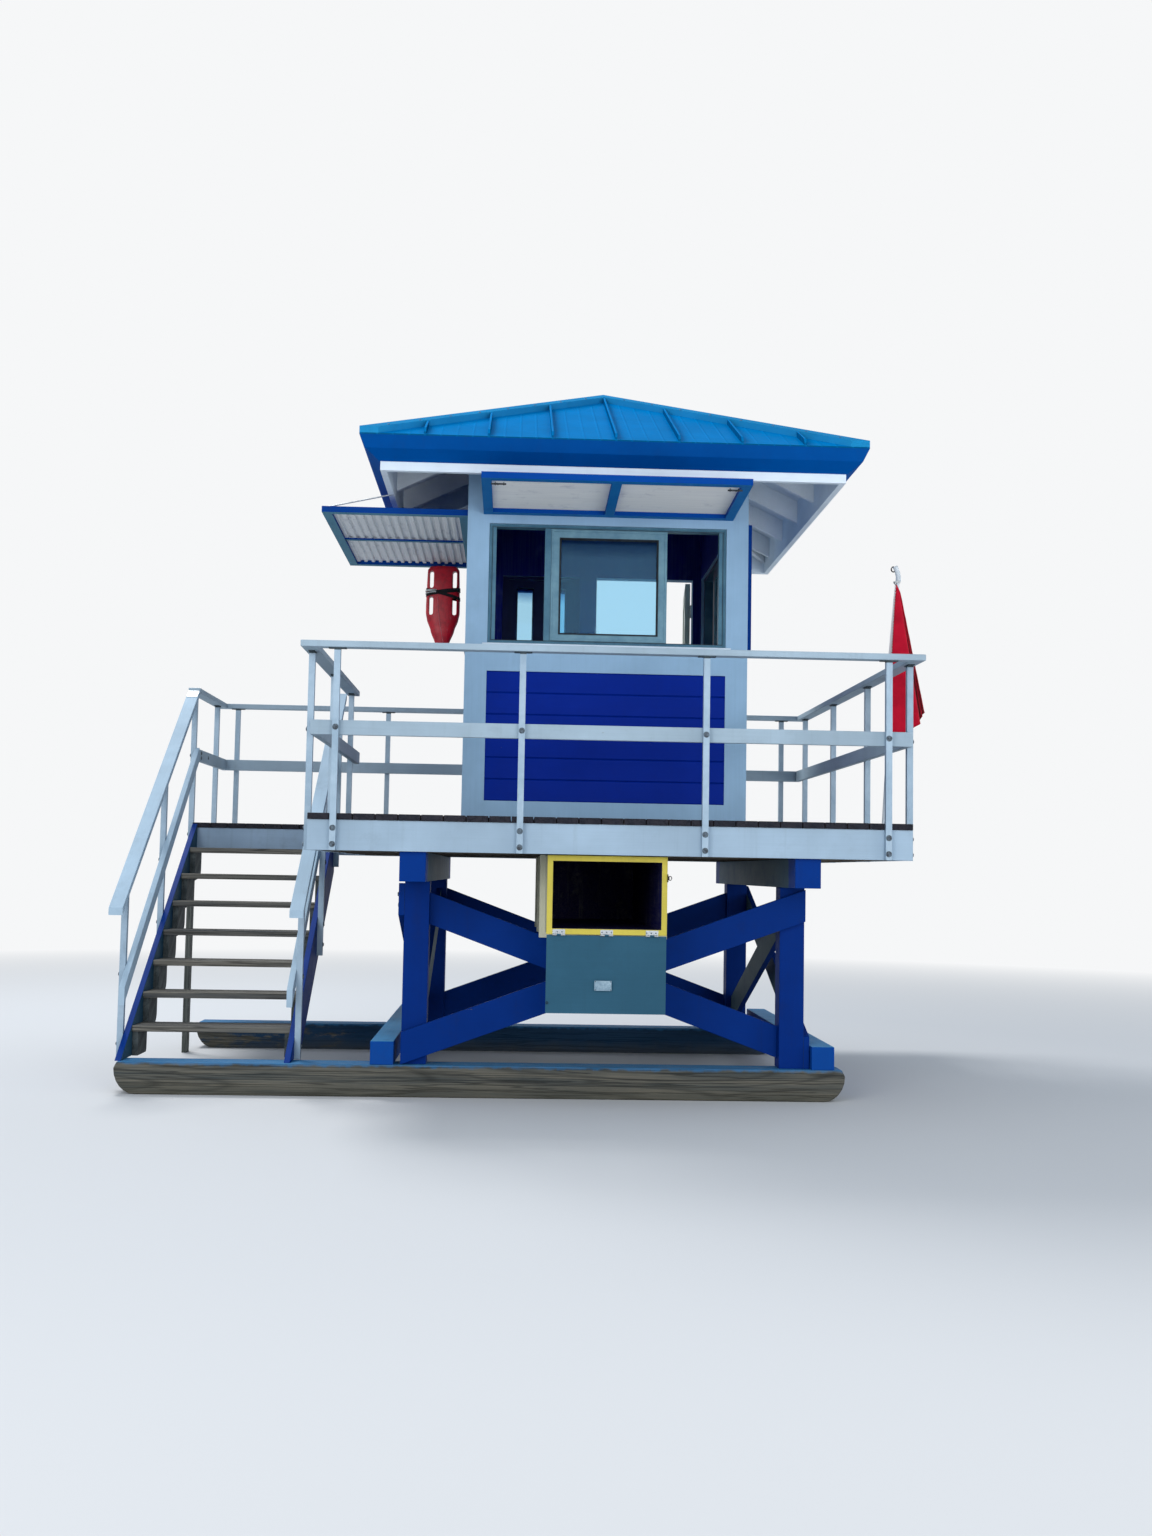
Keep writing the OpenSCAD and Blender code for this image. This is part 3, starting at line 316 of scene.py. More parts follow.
def painted_wood(name, colour, axis, turned=(0, 0, 0), wear=0.5, gloss=0.42, under=(118, 108, 92),
                 second=None):
    """Brushed paint on timber: strokes, sun fade, rain streaks, and bare wood where it has chipped."""
    coat = Finish(name, Specular_IOR_Level=0.05)
    strokes = coat.noise(120, 3, 0.55, along(axis, 0.02), 0, turned)
    fade = coat.noise(1.6, 4, 0.6, (1, 1, 1), 0.3)
    rain = coat.noise(26, 3, 0.6, along("Z", 0.05), 0.1) * (1 - coat.facing("Z").away().past(0.3, 0.8))
    grime = coat.noise(6, 6, 0.7)
    base = paint(*colour)
    dust = sum(base) / 3
    tone = coat.mix(fade.past(0.3, 0.7), shaded(base, 0.86), shaded(base, 1.08))
    if second is not None:
        for mask, shade in second(coat):
            tone = coat.mix(mask, tone, paint(*shade))
    tone = coat.mix(strokes.past(0.35, 0.75) * 0.13, tone, shaded(base, 0.62, 0.02 * dust))
    tone = coat.mix(rain.past(0.56, 0.74) * 0.22 * wear, tone, shaded(base, 0.5, 0.10 * dust))
    tone = coat.mix(grime.past(0.56, 0.72) * 0.34 * wear, tone, shaded(base, 0.52, 0.12 * dust))
    flakes = coat.noise(19, 9, 0.78, along(axis, 0.35), 0.2, turned) + strokes * 0.06
    chips = flakes.past(0.735 - 0.03 * wear, 0.745 - 0.03 * wear)
    tone = coat.mix(chips * 0.85, tone, paint(*under))
    height = strokes * 0.35 + coat.noise(420, 2, 0.5) * 0.12 - chips * 0.9
    coat.surface(tone, gloss + grime * 0.22 + chips * 0.3, height, 0.0016)
    return coat


def sill_top(coat):
    """The upper faces took a lighter blue."""
    return [(coat.facing("Z").past(0.4, 0.9), (56, 146, 200))]


sill_paint = painted_wood("sill_paint", (10, 70, 150), "Y", second=sill_top, wear=1.1)
eased(sill_paint, 0.006, "sills", slot="pale_paint")

# Base frame: four square posts on the runners, two girders across their heads, and crossed brace boards
# on every side. Pressure-treated pine under cobalt paint, bolted through at each end of every brace.


class Pattern(Wiring):
    """A Geometry Nodes tree with named sizes, which ends as one plain mesh."""

    def __init__(self, name, **sizes):
        self.sizes = sizes
        self.tree = bpy.data.node_groups.new(name, "GeometryNodeTree")
        face = self.tree.interface
        face.new_socket("Geometry", in_out="INPUT", socket_type="NodeSocketGeometry")
        for size, value in sizes.items():
            kind = "NodeSocketInt" if isinstance(value, int) else "NodeSocketFloat"
            face.new_socket(size, in_out="INPUT", socket_type=kind)
        face.new_socket("Geometry", in_out="OUTPUT", socket_type="NodeSocketGeometry")
        self.start = self.tree.nodes.new("NodeGroupInput")
        self.end = self.tree.nodes.new("NodeGroupOutput")

    def given(self, name="Geometry"):
        """One of the tree's own inputs."""
        return Signal(self, self.start.outputs[name])

    def plain(self, name, mesh, geometry, finish, body="tower", slot=None):
        """Evaluates the tree on a mesh, and keeps the result without the modifier."""
        solid = self.node("GeometryNodeRealizeInstances", Geometry=geometry)
        solid = self.node("GeometryNodeSetMaterial", Geometry=solid, Material=finish.material)
        self.tree.links.new(solid.socket, self.end.inputs[0])
        draft = placed(name + "_draft", mesh)
        live = draft.modifiers.new("pattern", "NODES")
        live.node_group = self.tree
        for item in self.tree.interface.items_tree:
            if item.in_out == "INPUT" and item.name in self.sizes:
                live[item.identifier] = self.sizes[item.name]
        shape = draft.evaluated_get(bpy.context.evaluated_depsgraph_get())
        made = bpy.data.meshes.new_from_object(shape)
        draft.modifiers.remove(live)
        bpy.data.objects.remove(draft)
        return piece(name, made, finish, body)


def heads(name, spots, finish, radius=0.011, height=0.008, washer=0.018, sides=6, plate=0.003, body="tower"):
    """Bolt or screw heads on their washers, one at each (place, direction) of spots."""
    tree = Pattern(name, Radius=radius, Height=height, Washer=washer, Plate=plate, Sides=sides)
    points = bpy.data.meshes.new(name + "_spots")
    points.from_pydata([spot for spot, _ in spots], [], [])
    aim = points.attributes.new("aim", "FLOAT_VECTOR", "POINT")
    for row, (_, way) in zip(aim.data, spots):
        row.vector = way
    disc = tree.node("GeometryNodeMeshCone", Vertices=18, Radius_Bottom=tree.given("Washer"),
                     Radius_Top=tree.given("Washer") * 0.93, Depth=tree.given("Plate"))
    head = tree.node("GeometryNodeMeshCone", Vertices=tree.given("Sides"), Radius_Bottom=tree.given("Radius"),
                     Radius_Top=tree.given("Radius") * 0.9, Depth=tree.given("Height"))
    bolt = tree.node("GeometryNodeJoinGeometry", Geometry=[disc, head])
    way = tree.node("GeometryNodeInputNamedAttribute", {"data_type": "FLOAT_VECTOR"}, Name="aim")
    turned = tree.node("FunctionNodeAlignRotationToVector", {"axis": "Z"}, Vector=way)
    row = tree.node("GeometryNodeInstanceOnPoints", Points=tree.given(), Instance=bolt, Rotation=turned)
    row = tree.node("GeometryNodeSetShadeSmooth", Geometry=row, Shade_Smooth=False)
    return tree.plain(name, points, row, finish, body, "galvanised_steel")


middle = (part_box("front_wall")[0][0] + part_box("front_wall")[1][0]) / 2


def around(spots, turns):
    """Spots of the front side, turned about the middle of the deck to other sides."""
    out = []
    for angle in turns:
        c, s = round(math.cos(math.radians(angle))), round(math.sin(math.radians(angle)))
        out += [((x * c - y * s + middle, x * s + y * c, z), (u * c - v * s, u * s + v * c, w))
                for (x, y, z), (u, v, w) in spots]
    return out


def bare_inside(coat):
    """The girders were brushed blue only at their ends; between, the timber is bare and streaked."""
    edge = coat.axis("Y").away() + coat.noise(14, 4, 0.6) * 0.10
    return [(1 - edge.past(1.60, 1.63), (50, 82, 100))]


def bare_backs(coat):
    """The backs of the side braces, which face each other under the deck, were left bare."""
    inward = (coat.axis("X") - middle) * coat.facing("X")
    return [(inward.past(-0.7, -1.0), (70, 92, 100))]


post_paint = painted_wood("post_paint", (0, 44, 122), "Z", wear=0.9)
eased(post_paint, 0.004, "base_posts", slot="cobalt_paint")
girder_paint = painted_wood("girder_paint", (0, 50, 128), "Y", wear=1.3, second=bare_inside)
eased(girder_paint, 0.004, "girders", slot="cobalt_paint")
brace_paint = painted_wood("brace_paint", (0, 46, 124), "X", wear=0.9, second=bare_backs)
eased(brace_paint, 0.003, "braces", slot="cobalt_paint")

zinc = Finish("zinc_heads", Metallic=0.85, Specular_IOR_Level=0.5)
specks = zinc.noise(300, 3, 0.6)
stains = zinc.noise(60, 4, 0.7).past(0.42, 0.62)
zinc.surface(zinc.mix(stains, paint(92, 106, 118), paint(58, 62, 68)), 0.4 + specks * 0.3, specks, 0.0004)
brace_thick = 0.038
(_, post_front, post_foot), (_, _, post_head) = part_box("base_posts")
brace_ends = ((-1.225, post_foot + 0.075), (-1.165, post_foot + 0.145),
              (1.165, post_head - 0.155), (1.225, post_head - 0.085))
front = [((x, post_front - brace_thick, z), (0, -1, 0)) for x, z in brace_ends]
heads("brace_bolts", around(front, (90, 180, 270)), zinc, 0.013, 0.010, 0.022)

# Deck: rim boards on edge round the joists, in brushed white paint, with dark brown boards laid across
# and screwed down at every joist. The board ends reach a little past the front and rear rims.


def weathered(name, *given, depth=0.002, **more):
    """Bare timber as it is, with nothing over it."""
    wood, colour, relief, rough = bare_wood(name, *given, **more)
    wood.surface(colour, rough, relief, depth)
    return wood


def dress(finish, *names):
    """Gives CAD nodes their finish."""
    for name in names:
        for held in nodes[name].material_slots:
            held.link = "OBJECT"
            held.material = finish.material


old_pine = (150, 146, 136)
for rims, axis in (("end", "X"), ("side", "Y")):
    rim_paint = painted_wood(rims + "_rim_paint", (160, 182, 200), axis, wear=0.75, under=old_pine)
    eased(rim_paint, 0.003, rims + "_rims", slot="white_paint")
dress(weathered("joist_wood", paint(120, 112, 100), paint(66, 60, 54), "X", "Z"), "floor_joists")
board_count, joist_count = 27, 9
board_pitch, joist_pitch = 3.664 / board_count, 3.62 / (joist_count - 1)
deck_left, joist_front = -1.829, -1.81
deck_wood, colour, relief, rough = bare_wood("deck_wood", paint(80, 66, 64), paint(32, 28, 34), "Y", "X",
                                             board_pitch, middle + deck_left, bold=1.2)
worn_path = deck_wood.noise(1.3, 3, 0.5).past(0.45, 0.7) * deck_wood.facing("Z").past(0.5, 0.9)
colour = deck_wood.mix(worn_path * 0.3, colour, paint(128, 112, 102))
# Board ends near black-blue: darker end grain, deepened with painted shade.
ends = deck_wood.facing("Y").away().past(0.5, 0.9)
colour = deck_wood.mix(ends * 0.85, colour, paint(16, 22, 36))
deck_wood.surface(colour, rough, relief, 0.003)
eased(deck_wood, 0.0035, "deck_boards", slot="deck_timber")
deck_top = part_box("deck_boards")[1][2]
board_half, cabin_half = 0.065, 0.95
flat_head = (0.0045, 0.0008, 0.005, 8, 0.0004)
screws = []
for board in range(board_count):
    for joist in range(joist_count):
        x = deck_left + board * board_pitch + board_half
        y = joist_front + joist * joist_pitch
        if abs(x) >= cabin_half or abs(y) >= cabin_half:
            screws += [((middle + x + aside, y, deck_top), (0, 0, 1)) for aside in (-0.038, 0.038)]
heads("deck_screws", screws, zinc, *flat_head)

# Landing: a smaller deck at the head of the stair, carried by the tower's rim on one side and by a
# weathered leg at its outer corner. White rim boards, the same dark boards on top.
landing_paint = painted_wood("landing_paint", (150, 172, 194), "X", wear=1.1, under=(110, 116, 116))
eased(landing_paint, 0.003, "landing_frame", slot="white_paint")
leg_wood = weathered("leg_wood", paint(118, 122, 116), paint(58, 64, 64), "Z", "Y")
eased(leg_wood, 0.003, "landing_legs", slot="weathered_timber")
leg_x, leg_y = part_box("landing_legs")[0][0], 0.8415
heads("leg_bolts", [((leg_x, leg_y, z), (-1, 0, 0)) for z in (1.585, 1.645)], zinc, 0.012, 0.009, 0.019)

# Stair: outer stringer boards in cobalt paint, weathered inner carriages cut with a rounded nose
# under each tread, seven weathered treads screwed to them, and sloping white rails on square tube posts.
rise, going, tread_count = 0.194, 0.256, 7
nose_y, floor_z = 0.740, 1.751
sloped = (-math.atan(rise / going), 0, 0)
(stair_left, _, _), (stair_right, _, _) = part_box("stair_stringers")


def bare_flanks(coat):
    """The inner faces of the stringers have lost most of their paint."""
    inward = (coat.axis("X") - (stair_left + stair_right) / 2) * coat.facing("X")
    scraped = coat.noise(9, 7, 0.7).past(0.28, 0.42)
    return [(inward.past(-0.2, -0.4) * (scraped * 0.35 + 0.65), (46, 82, 102))]


stringer_paint = painted_wood("stringer_paint", (0, 50, 128), "Y", sloped, wear=1.3, second=bare_flanks)
eased(stringer_paint, 0.003, "stair_stringers", slot="cobalt_paint")
carriage_wood = weathered("carriage_wood", paint(92, 100, 100), paint(44, 52, 56), "Y", "Z", turned=sloped)
eased(carriage_wood, 0.003, "stair_carriages", slot="weathered_timber")
tread_wood = weathered("tread_wood", paint(124, 120, 110), paint(60, 64, 68), "X", "Y", going, -1.308,
                       bold=1.1, depth=0.003)
eased(tread_wood, 0.005, "stair_treads", slot="weathered_timber")
stair_rail_paint = painted_wood("stair_rail_paint", (168, 192, 210), "Y", sloped, wear=1.0, under=old_pine)
eased(stair_rail_paint, 0.004, "stair_rails", slot="white_paint")
screws = []
for step in range(1, tread_count + 1):
    y, z = nose_y - going * step, floor_z - rise * step
    for x in (stair_left + 0.057, stair_right - 0.057):
        screws += [((x, y + back, z), (0, 0, 1)) for back in (0.04, 0.13, 0.22)]
heads("tread_screws", screws, zinc, *flat_head)
bolts = []
stair_post_thick = 0.038
for y in (-1.1032, -0.1304):
    slope_z = floor_z - (nose_y - y) * rise / going
    for x, way in ((stair_left - stair_post_thick, -1), (stair_right + stair_post_thick, 1)):
        bolts += [((x, y, slope_z + lift), (way, 0, 0)) for lift in (-0.07, -0.21, 0.37)]
heads("stair_bolts", bolts, zinc, 0.011, 0.008, 0.018)

# Railings: square tube posts outside the rims, each with a flat plate on its head, two bolts through the
# rim and one through the middle rail. Flat top rails and upright middle rails of white painted timber.


def landed(starts, way, *names):
    """Spots carried along a direction until they meet the solids, with the way the surface looks there."""
    found = []
    way = Vector(way).normalized()
    for name in names:
        mesh = nodes[name].data
        skin = BVHTree.FromPolygons([v.co for v in mesh.vertices], [tuple(f.vertices) for f in mesh.polygons])
        for start in starts:
            hit, looks, _, _ = skin.ray_cast(Vector(start), way)
            if hit is not None:
                found.append((tuple(hit), tuple(looks if looks.dot(way) < 0 else -looks)))
    return found


alloy = Finish("post_metal", Specular_IOR_Level=0.3)
dull = alloy.noise(4, 5, 0.65)
drawn = alloy.noise(260, 2, 0.5, along("Z", 0.02))
streaks = alloy.noise(24, 5, 0.7, along("Z", 0.12)).past(0.6, 0.75)
# Dark head plates, with the dark carried down the top of each post as painted shade under the rail.
plates_and_shade = alloy.axis("Z").past(2.731, 2.7318)
skin = alloy.mix(dull.past(0.35, 0.7), paint(136, 158, 176), paint(164, 184, 200))
skin = alloy.mix(streaks * 0.4, skin, paint(112, 118, 122))
skin = alloy.mix(plates_and_shade, skin, paint(58, 70, 76))
alloy.surface(skin, 0.42 + dull * 0.2, drawn, 0.0005, metal=0.35 + dull * 0.2)
dress(alloy, "rail_posts")
for rails, run, axis in (("front_rear_rails", "long", "X"), ("side_rails", "side", "Y")):
    rail_paint = painted_wood(run + "_rail_paint", (162, 182, 196), axis, wear=0.8, under=old_pine)
    eased(rail_paint, 0.004, rails, slot="white_paint")
post_face, post_pitch, post_count = 1.867, 1.116, 4
bolt_heights = (1.565, 1.662, 2.267)
post_bolt = (0.0115, 0.008, 0.0185)
posts = [(k - (post_count - 1) / 2) * post_pitch for k in range(post_count)]
front = [((x, -post_face, z), (0, -1, 0)) for x in posts for z in bolt_heights]
beside_landing = [row for row in front if -row[0][0] < 0.62]
heads("post_bolts", around(front, (0, 90, 180)) + around(beside_landing, (270,)), zinc, *post_bolt)
landing_left = middle - 3.050 - 0.038
bolts = [((middle - 2.936, post_face, z), (0, 1, 0)) for z in bolt_heights]
bolts += [((landing_left, y, z), (-1, 0, 0)) for y in (0.7725, 1.636) for z in bolt_heights]
heads("landing_bolts", bolts, zinc, *post_bolt)
plate_screws = [((x + aside, -1.848, 2.7395), (0, 0, -1)) for x in posts for aside in (-0.042, 0.042)]
heads("plate_screws", around(plate_screws, (0, 90, 180)), zinc, 0.004, 0.002, 0.005, 8, 0.0008)
rail_end = [(middle - 2.4, y, z) for y, z in ((0.78, 2.286), (0.78, 2.248), (1.04, 2.267))]
heads("landing_bolts", landed(rail_end, (-1, 0, 0), "side_rails"), zinc, 0.009, 0.006, 0.015)

# Cabin walls: panelled timber walls under white paint, with cobalt siding boards set into a shallow
# pocket below each window, and a thin white sill board across the head of the siding.


def room_shade(coat):
    """The wall faces inside the room behind the windows carry painted shade, a very dark blue."""
    across = (coat.axis("X") - middle).away().past(0.8440, 0.8442)
    back = coat.axis("Y").away().past(0.8440, 0.8442)
    return [((1 - across) * (1 - back), (4, 14, 112))]


wall_paint = painted_wood("wall_paint", (143, 176, 204), "Z", wear=0.35, gloss=0.5, under=(150, 150, 146),
                          second=room_shade)
dress(wall_paint, "front_wall", "side_walls", "rear_wall", "door_jamb_wall", "door_head_wall")
dress(painted_wood("siding_paint", (0, 36, 136), "X", wear=0.3, gloss=0.4), "siding_panels")
eased(painted_wood("sill_trim_paint", (196, 212, 226), "X", wear=0.4), 0.003, "sill_trim", slot="white_paint")

# Windows: sliding windows in heavy extruded frames, grey-green coated metal with a stepped face,
# a dark rubber gasket round every pane, and one fixed sash with its mullion in the wide ones.


def strip(mesh, a, b):
    """Quads between two rings of as many points."""
    for k in range(len(a)):
        n = (k + 1) % len(a)
        mesh.faces.new((a[k], a[n], b[n], b[k]))


def bar_profile(name, outline, loops, finish, turns, about=0.0):
    """A moulding with a flat outline (depth, inset), carried round closed rectangles of the front wall,
    and turned about the middle of the cabin to the walls that have it."""
    whole = bmesh.new()
    for angle in turns:
        spin = Matrix.Translation((middle, 0, 0)) @ Matrix.Rotation(math.radians(angle), 4, "Z")
        spin = spin @ Matrix.Translation((about, 0, 0))
        for x0, x1, z0, z1 in loops:
            corners = ((x0, z0, 1, 1), (x1, z0, -1, 1), (x1, z1, -1, -1), (x0, z1, 1, -1))
            rings = [[whole.verts.new(spin @ Vector((x + right * inset, depth, z + up * inset)))
                      for depth, inset in outline] for x, z, right, up in corners]
            for a, b in zip(rings, rings[1:] + rings[:1]):
                strip(whole, a, b)
    bmesh.ops.recalc_face_normals(whole, faces=whole.faces)
    return piece(name, settled(whole, name), finish)


def indoors(coat):
    """The faces that look into the room."""
    across = (coat.axis("X") - middle) * coat.facing("X")
    back = coat.axis("Y") * coat.facing("Y")
    return across.maths("MINIMUM", across, back).past(-0.85, -0.86)


def coated_bar(name, scale, low, high, room_shade_colour, gloss, stained=None):
    """Coated metal bars: chalky patches, fine drawing lines, and painted shade in dark blue on the faces that
    look into the room.
    """
    bar = Finish(name, Specular_IOR_Level=0.25)
    chalk = bar.noise(scale, 5, 0.65)
    skin = bar.mix(chalk.past(0.35, 0.7), paint(*low), paint(*high))
    if stained is not None:
        stains = bar.noise(40, 4, 0.7, along("Z", 0.2)).past(0.62, 0.72)
        skin = bar.mix(stains * 0.35, skin, paint(*stained))
    skin = bar.mix(indoors(bar), skin, paint(*room_shade_colour))
    bar.surface(skin, gloss + chalk * 0.2, bar.noise(220, 2, 0.5, along("Z", 0.03)), 0.0004, metal=0.15)
    return bar


def mottled(name, grain, span, one, other, gloss, swing, depth, **fixed):
    """A finish in patches of two colours, which also shape its gloss and its fine relief."""
    finish = Finish(name, **fixed)
    patches = finish.noise(*grain)
    skin = finish.mix(patches.past(*span), paint(*one), paint(*other))
    finish.surface(skin, gloss + patches * swing, patches if depth else None, depth)
    return finish


# The third colour of each bar is the painted shade on its room side.
window_metal = coated_bar("window_metal", 7, (54, 96, 120), (76, 118, 138), (8, 22, 74), 0.38, (34, 66, 84))
dress(window_metal, "window_frames")
sash_metal = coated_bar("sash_metal", 9, (84, 122, 142), (108, 146, 162), (10, 26, 76), 0.36)
dress(sash_metal, "window_sashes")
rubber = mottled("gasket_rubber", (30, 4, 0.7), (0.4, 0.7), (20, 26, 34), (44, 52, 60), 0.6, 0.2, 0.0006,
                 Specular_IOR_Level=0.3)
wide_walls, rear_wall = (0, 90, 270), (180,)
sill_z, head_z = 2.936, 3.743
wide_half, narrow_half, narrow_at = 0.797, 0.305, 0.415
wide = [(-wide_half, wide_half, sill_z, head_z)]
narrow = [(-narrow_half, narrow_half, sill_z, head_z)]
flange = [(-0.930, 0.001), (-0.934, 0.002), (-0.934, 0.012), (-0.930, 0.015)]
groove = [(-0.9305, 0.020), (-0.9335, 0.0215), (-0.9335, 0.024), (-0.9305, 0.0225)]
bar_profile("frame_flanges", flange, wide, window_metal, wide_walls)
bar_profile("frame_grooves", groove, wide, rubber, wide_walls)
bar_profile("rear_frame_flanges", flange, narrow, window_metal, rear_wall, narrow_at)
bar_profile("rear_frame_grooves", groove, narrow, rubber, rear_wall, narrow_at)
track, stile, foot_rail = 0.024, 0.062, 0.0496
sash_left, sash_right, sash_low, sash_high = -0.384, 0.399, sill_z + track, head_z - track
pane_low, pane_high = sash_low + foot_rail, sash_high - stile
pane = (sash_left + stile, sash_right - stile, pane_low, pane_high)
gasket = [(-0.9262, -0.004), (-0.9262, 0.001), (-0.910, 0.009), (-0.9075, 0.009), (-0.9075, 0.005)]
bar_profile("pane_gaskets", gasket, [pane], rubber, wide_walls)
lip = [(-0.922, 0.003), (-0.9255, 0.005), (-0.9255, 0.016), (-0.922, 0.018)]
bar_profile("sash_lips", lip, [(sash_left, sash_right, sash_low, sash_high)], sash_metal, wide_walls)
half = narrow_half - 0.048
panes = [(-half + stile, -stile, pane_low, pane_high), (stile, half - stile, pane_low, pane_high)]
bar_profile("rear_gaskets", gasket, panes, rubber, rear_wall, narrow_at)

glass = Finish("pane_glass", IOR=1.45, Transmission_Weight=0.94, Specular_Tint=(0.16, 0.46, 0.85, 1))
smear = glass.noise(5, 6, 0.7)
# Painted reflection: the upper part of each pane is written pale sky blue, for the sky it mirrors.
upper = (glass.axis("Z") + smear * 0.06).past(3.56, 3.66)
tint = glass.mix(upper, paint(172, 224, 250), paint(70, 128, 182))
glass.surface(tint, 0.02 + smear.past(0.5, 0.75) * 0.06)
dress(glass, "window_glass")

# Shutters: framed lift-up boards hinged over each window. The front and rear ones carry flat off-white
# panels, the left one a ribbed sheet, and the right one hangs closed. Thin steel stays hold them up.


def flat_panels(coat):
    """The off-white boards in the frame of an open shutter, seen from below, and painted light: the frame's
    faces turned down are a paler teal.
    """
    frame_z, frame_y, slope = 3.801, 0.944, 0.0262
    lift = coat.axis("Z") - frame_z - (coat.axis("Y").away() - frame_y) * slope
    under = 1 - coat.facing("Z").past(-0.8, -0.7)
    # Painted light: faces turned down are written a paler teal than the cobalt front.
    return [(under, (16, 104, 168)), (lift.past(0.018, 0.020) * under, (244, 244, 240))]


def ribbed_sheet(coat):
    """The bare ribbed sheet in the frame of the left shutter, with a dark batten across its middle, painted
    light in teal-grey on the faces turned down, and painted shade on the flanks of the ribs.
    """
    under = 1 - coat.facing("Z").past(-0.05, 0.0)
    bare = coat.axis("Z").past(3.8165, 3.817) * under * coat.axis("X").past(middle - 1.863, middle - 1.862)
    flanks = bare * coat.facing("Y").away().past(0.25, 0.5)
    # Painted light on the faces turned down; painted shade on the rib flanks.
    return [(under, (84, 138, 160)), (bare, (244, 246, 246)), (flanks, (126, 134, 140))]


flat_paint = painted_wood("front_shutter_paint", (0, 66, 150), "X", wear=0.7, second=flat_panels)
dress(flat_paint, "front_shutter", "rear_shutter")
ribbed_paint = painted_wood("left_shutter_paint", (0, 60, 140), "Y", wear=0.8, second=ribbed_sheet)
dress(ribbed_paint, "left_shutter")
dress(painted_wood("right_shutter_paint", (2, 56, 136), "Y", wear=0.8), "right_shutter")
stay_steel = Finish("stay_steel", Metallic=0.9)
spangle = stay_steel.node("TexVoronoi", Vector=stay_steel.place(), Scale=120, out="Distance")
skin = stay_steel.mix(spangle.past(0.1, 0.6), paint(140, 148, 154), paint(176, 182, 186))
stay_steel.surface(skin, 0.35 + spangle * 0.25)
dress(stay_steel, "shutter_stays", "hinges")


def skinned(rings, closed=True):
    """A shape over a stack of rings, capped at both ends or closed on itself."""
    mesh = bmesh.new()
    rows = [[mesh.verts.new(spot) for spot in ring] for ring in rings]
    for a, b in zip(rows, rows[1:] if closed else rows[1:] + rows[:1]):
        strip(mesh, a, b)
    if closed:
        mesh.faces.new(rows[0])
        mesh.faces.new(rows[-1])
    bmesh.ops.recalc_face_normals(mesh, faces=mesh.faces)
    return mesh


def tube(path, radius, sides=8, closed=False):
    """A round cord or rod along a path of points."""
    rows, count = [], len(path)
    turns = [2 * math.pi * k / sides for k in range(sides)]
    for k, spot in enumerate(path):
        ahead = Vector(path[(k + 1) % count] if closed else path[min(k + 1, count - 1)])
        behind = Vector(path[k - 1] if closed or k else path[0])
        way = (ahead - behind).normalized()
        flat = way.cross(Vector((0, 0, 1)) if abs(way.z) < 0.9 else Vector((1, 0, 0))).normalized()
        up = flat.cross(way)
        rows.append([Vector(spot) + (flat * math.cos(a) + up * math.sin(a)) * radius for a in turns])
    return skinned(rows, closed=not closed)


def hoop(centre, a, b, big, small, radius, turns=16):
    """A closed loop of cord round an ellipse with axes a and b."""
    wide_way, tall_way, centre = Vector(a) * big, Vector(b) * small, Vector(centre)
    steps = [2 * math.pi * k / turns for k in range(turns)]
    path = [centre + wide_way * math.cos(step) + tall_way * math.sin(step) for step in steps]
    return tube(path, radius, closed=True)


def merged(shapes):
    """Several shapes as one."""
    whole = bmesh.new()
    for shape in shapes:
        one = settled(shape, "part")
        whole.from_mesh(one)
        bpy.data.meshes.remove(one)
    return whole


def gathered(name, shapes, finish, body="tower", smooth=True):
    """Several small shapes as one piece."""
    whole = merged(shapes)
    for face in whole.faces:
        face.smooth = smooth
    return piece(name, settled(whole, name), finish, body)


def barrel_bolt(x, y, z, way):
    """A small slide bolt on its plate, under the front edge of a shutter."""
    rod = [(x + way * d, y, z - 0.011) for d in (-0.040, 0.0, 0.052)]
    knob = [(x + way * 0.010, y, z - 0.013), (x + way * 0.010, y - 0.016, z - 0.020)]
    keepers = [hoop((x + way * d, y, z - 0.009), (0, 1, 0), (0, 0, 1), 0.010, 0.010, 0.0022)
               for d in (-0.026, 0.026)]
    return [tube(rod, 0.0055, 10), tube(knob, 0.004, 8), *keepers]


black_iron = mottled("black_iron", (40, 4, 0.7), (0.4, 0.7), (26, 34, 42), (58, 58, 58), 0.5, 0.2, 0.0004,
                     Specular_IOR_Level=0.4)
_, shutter_y, shutter_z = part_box("front_shutter")[0]
slide_bolts = []
for x, way in ((-0.725, -1), (0.725, 1)):
    slide_bolts += barrel_bolt(middle + x, shutter_y + 0.035, shutter_z + 0.006, way)
gathered("shutter_bolts", slide_bolts, black_iron)

# Strap over the joint between the landing rail and the head of the outer stair rail: galvanised plate,
# bent to the slope and screwed down from above.
strap_left, strap_wide, strap_thick, strap_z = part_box("stair_rails")[0][0] + 0.004, 0.080, 0.003, 2.7842
bent = []
for y in (0.800, 0.745, 0.690, 0.635):
    z = strap_z - max(0.0, nose_y - y) * rise / going
    bent.append([(strap_left, y, z), (strap_left + strap_wide, y, z),
                 (strap_left + strap_wide, y, z + strap_thick), (strap_left, y, z + strap_thick)])
gathered("stair_strap", [skinned(bent)], stay_steel, smooth=False)

# Roof: hip rafters, commons and shortened jacks under white boards, closed by a white inner fascia and
# a blue metal one that slants in below the eaves.
dress(painted_wood("rafter_paint", (240, 246, 250), "Y", wear=0.3), "rafters")
dress(painted_wood("soffit_paint", (238, 245, 249), "X", wear=0.3), "roof_boards")
dress(painted_wood("inner_fascia_paint", (228, 240, 250), "X", wear=0.25), "sub_fascia")


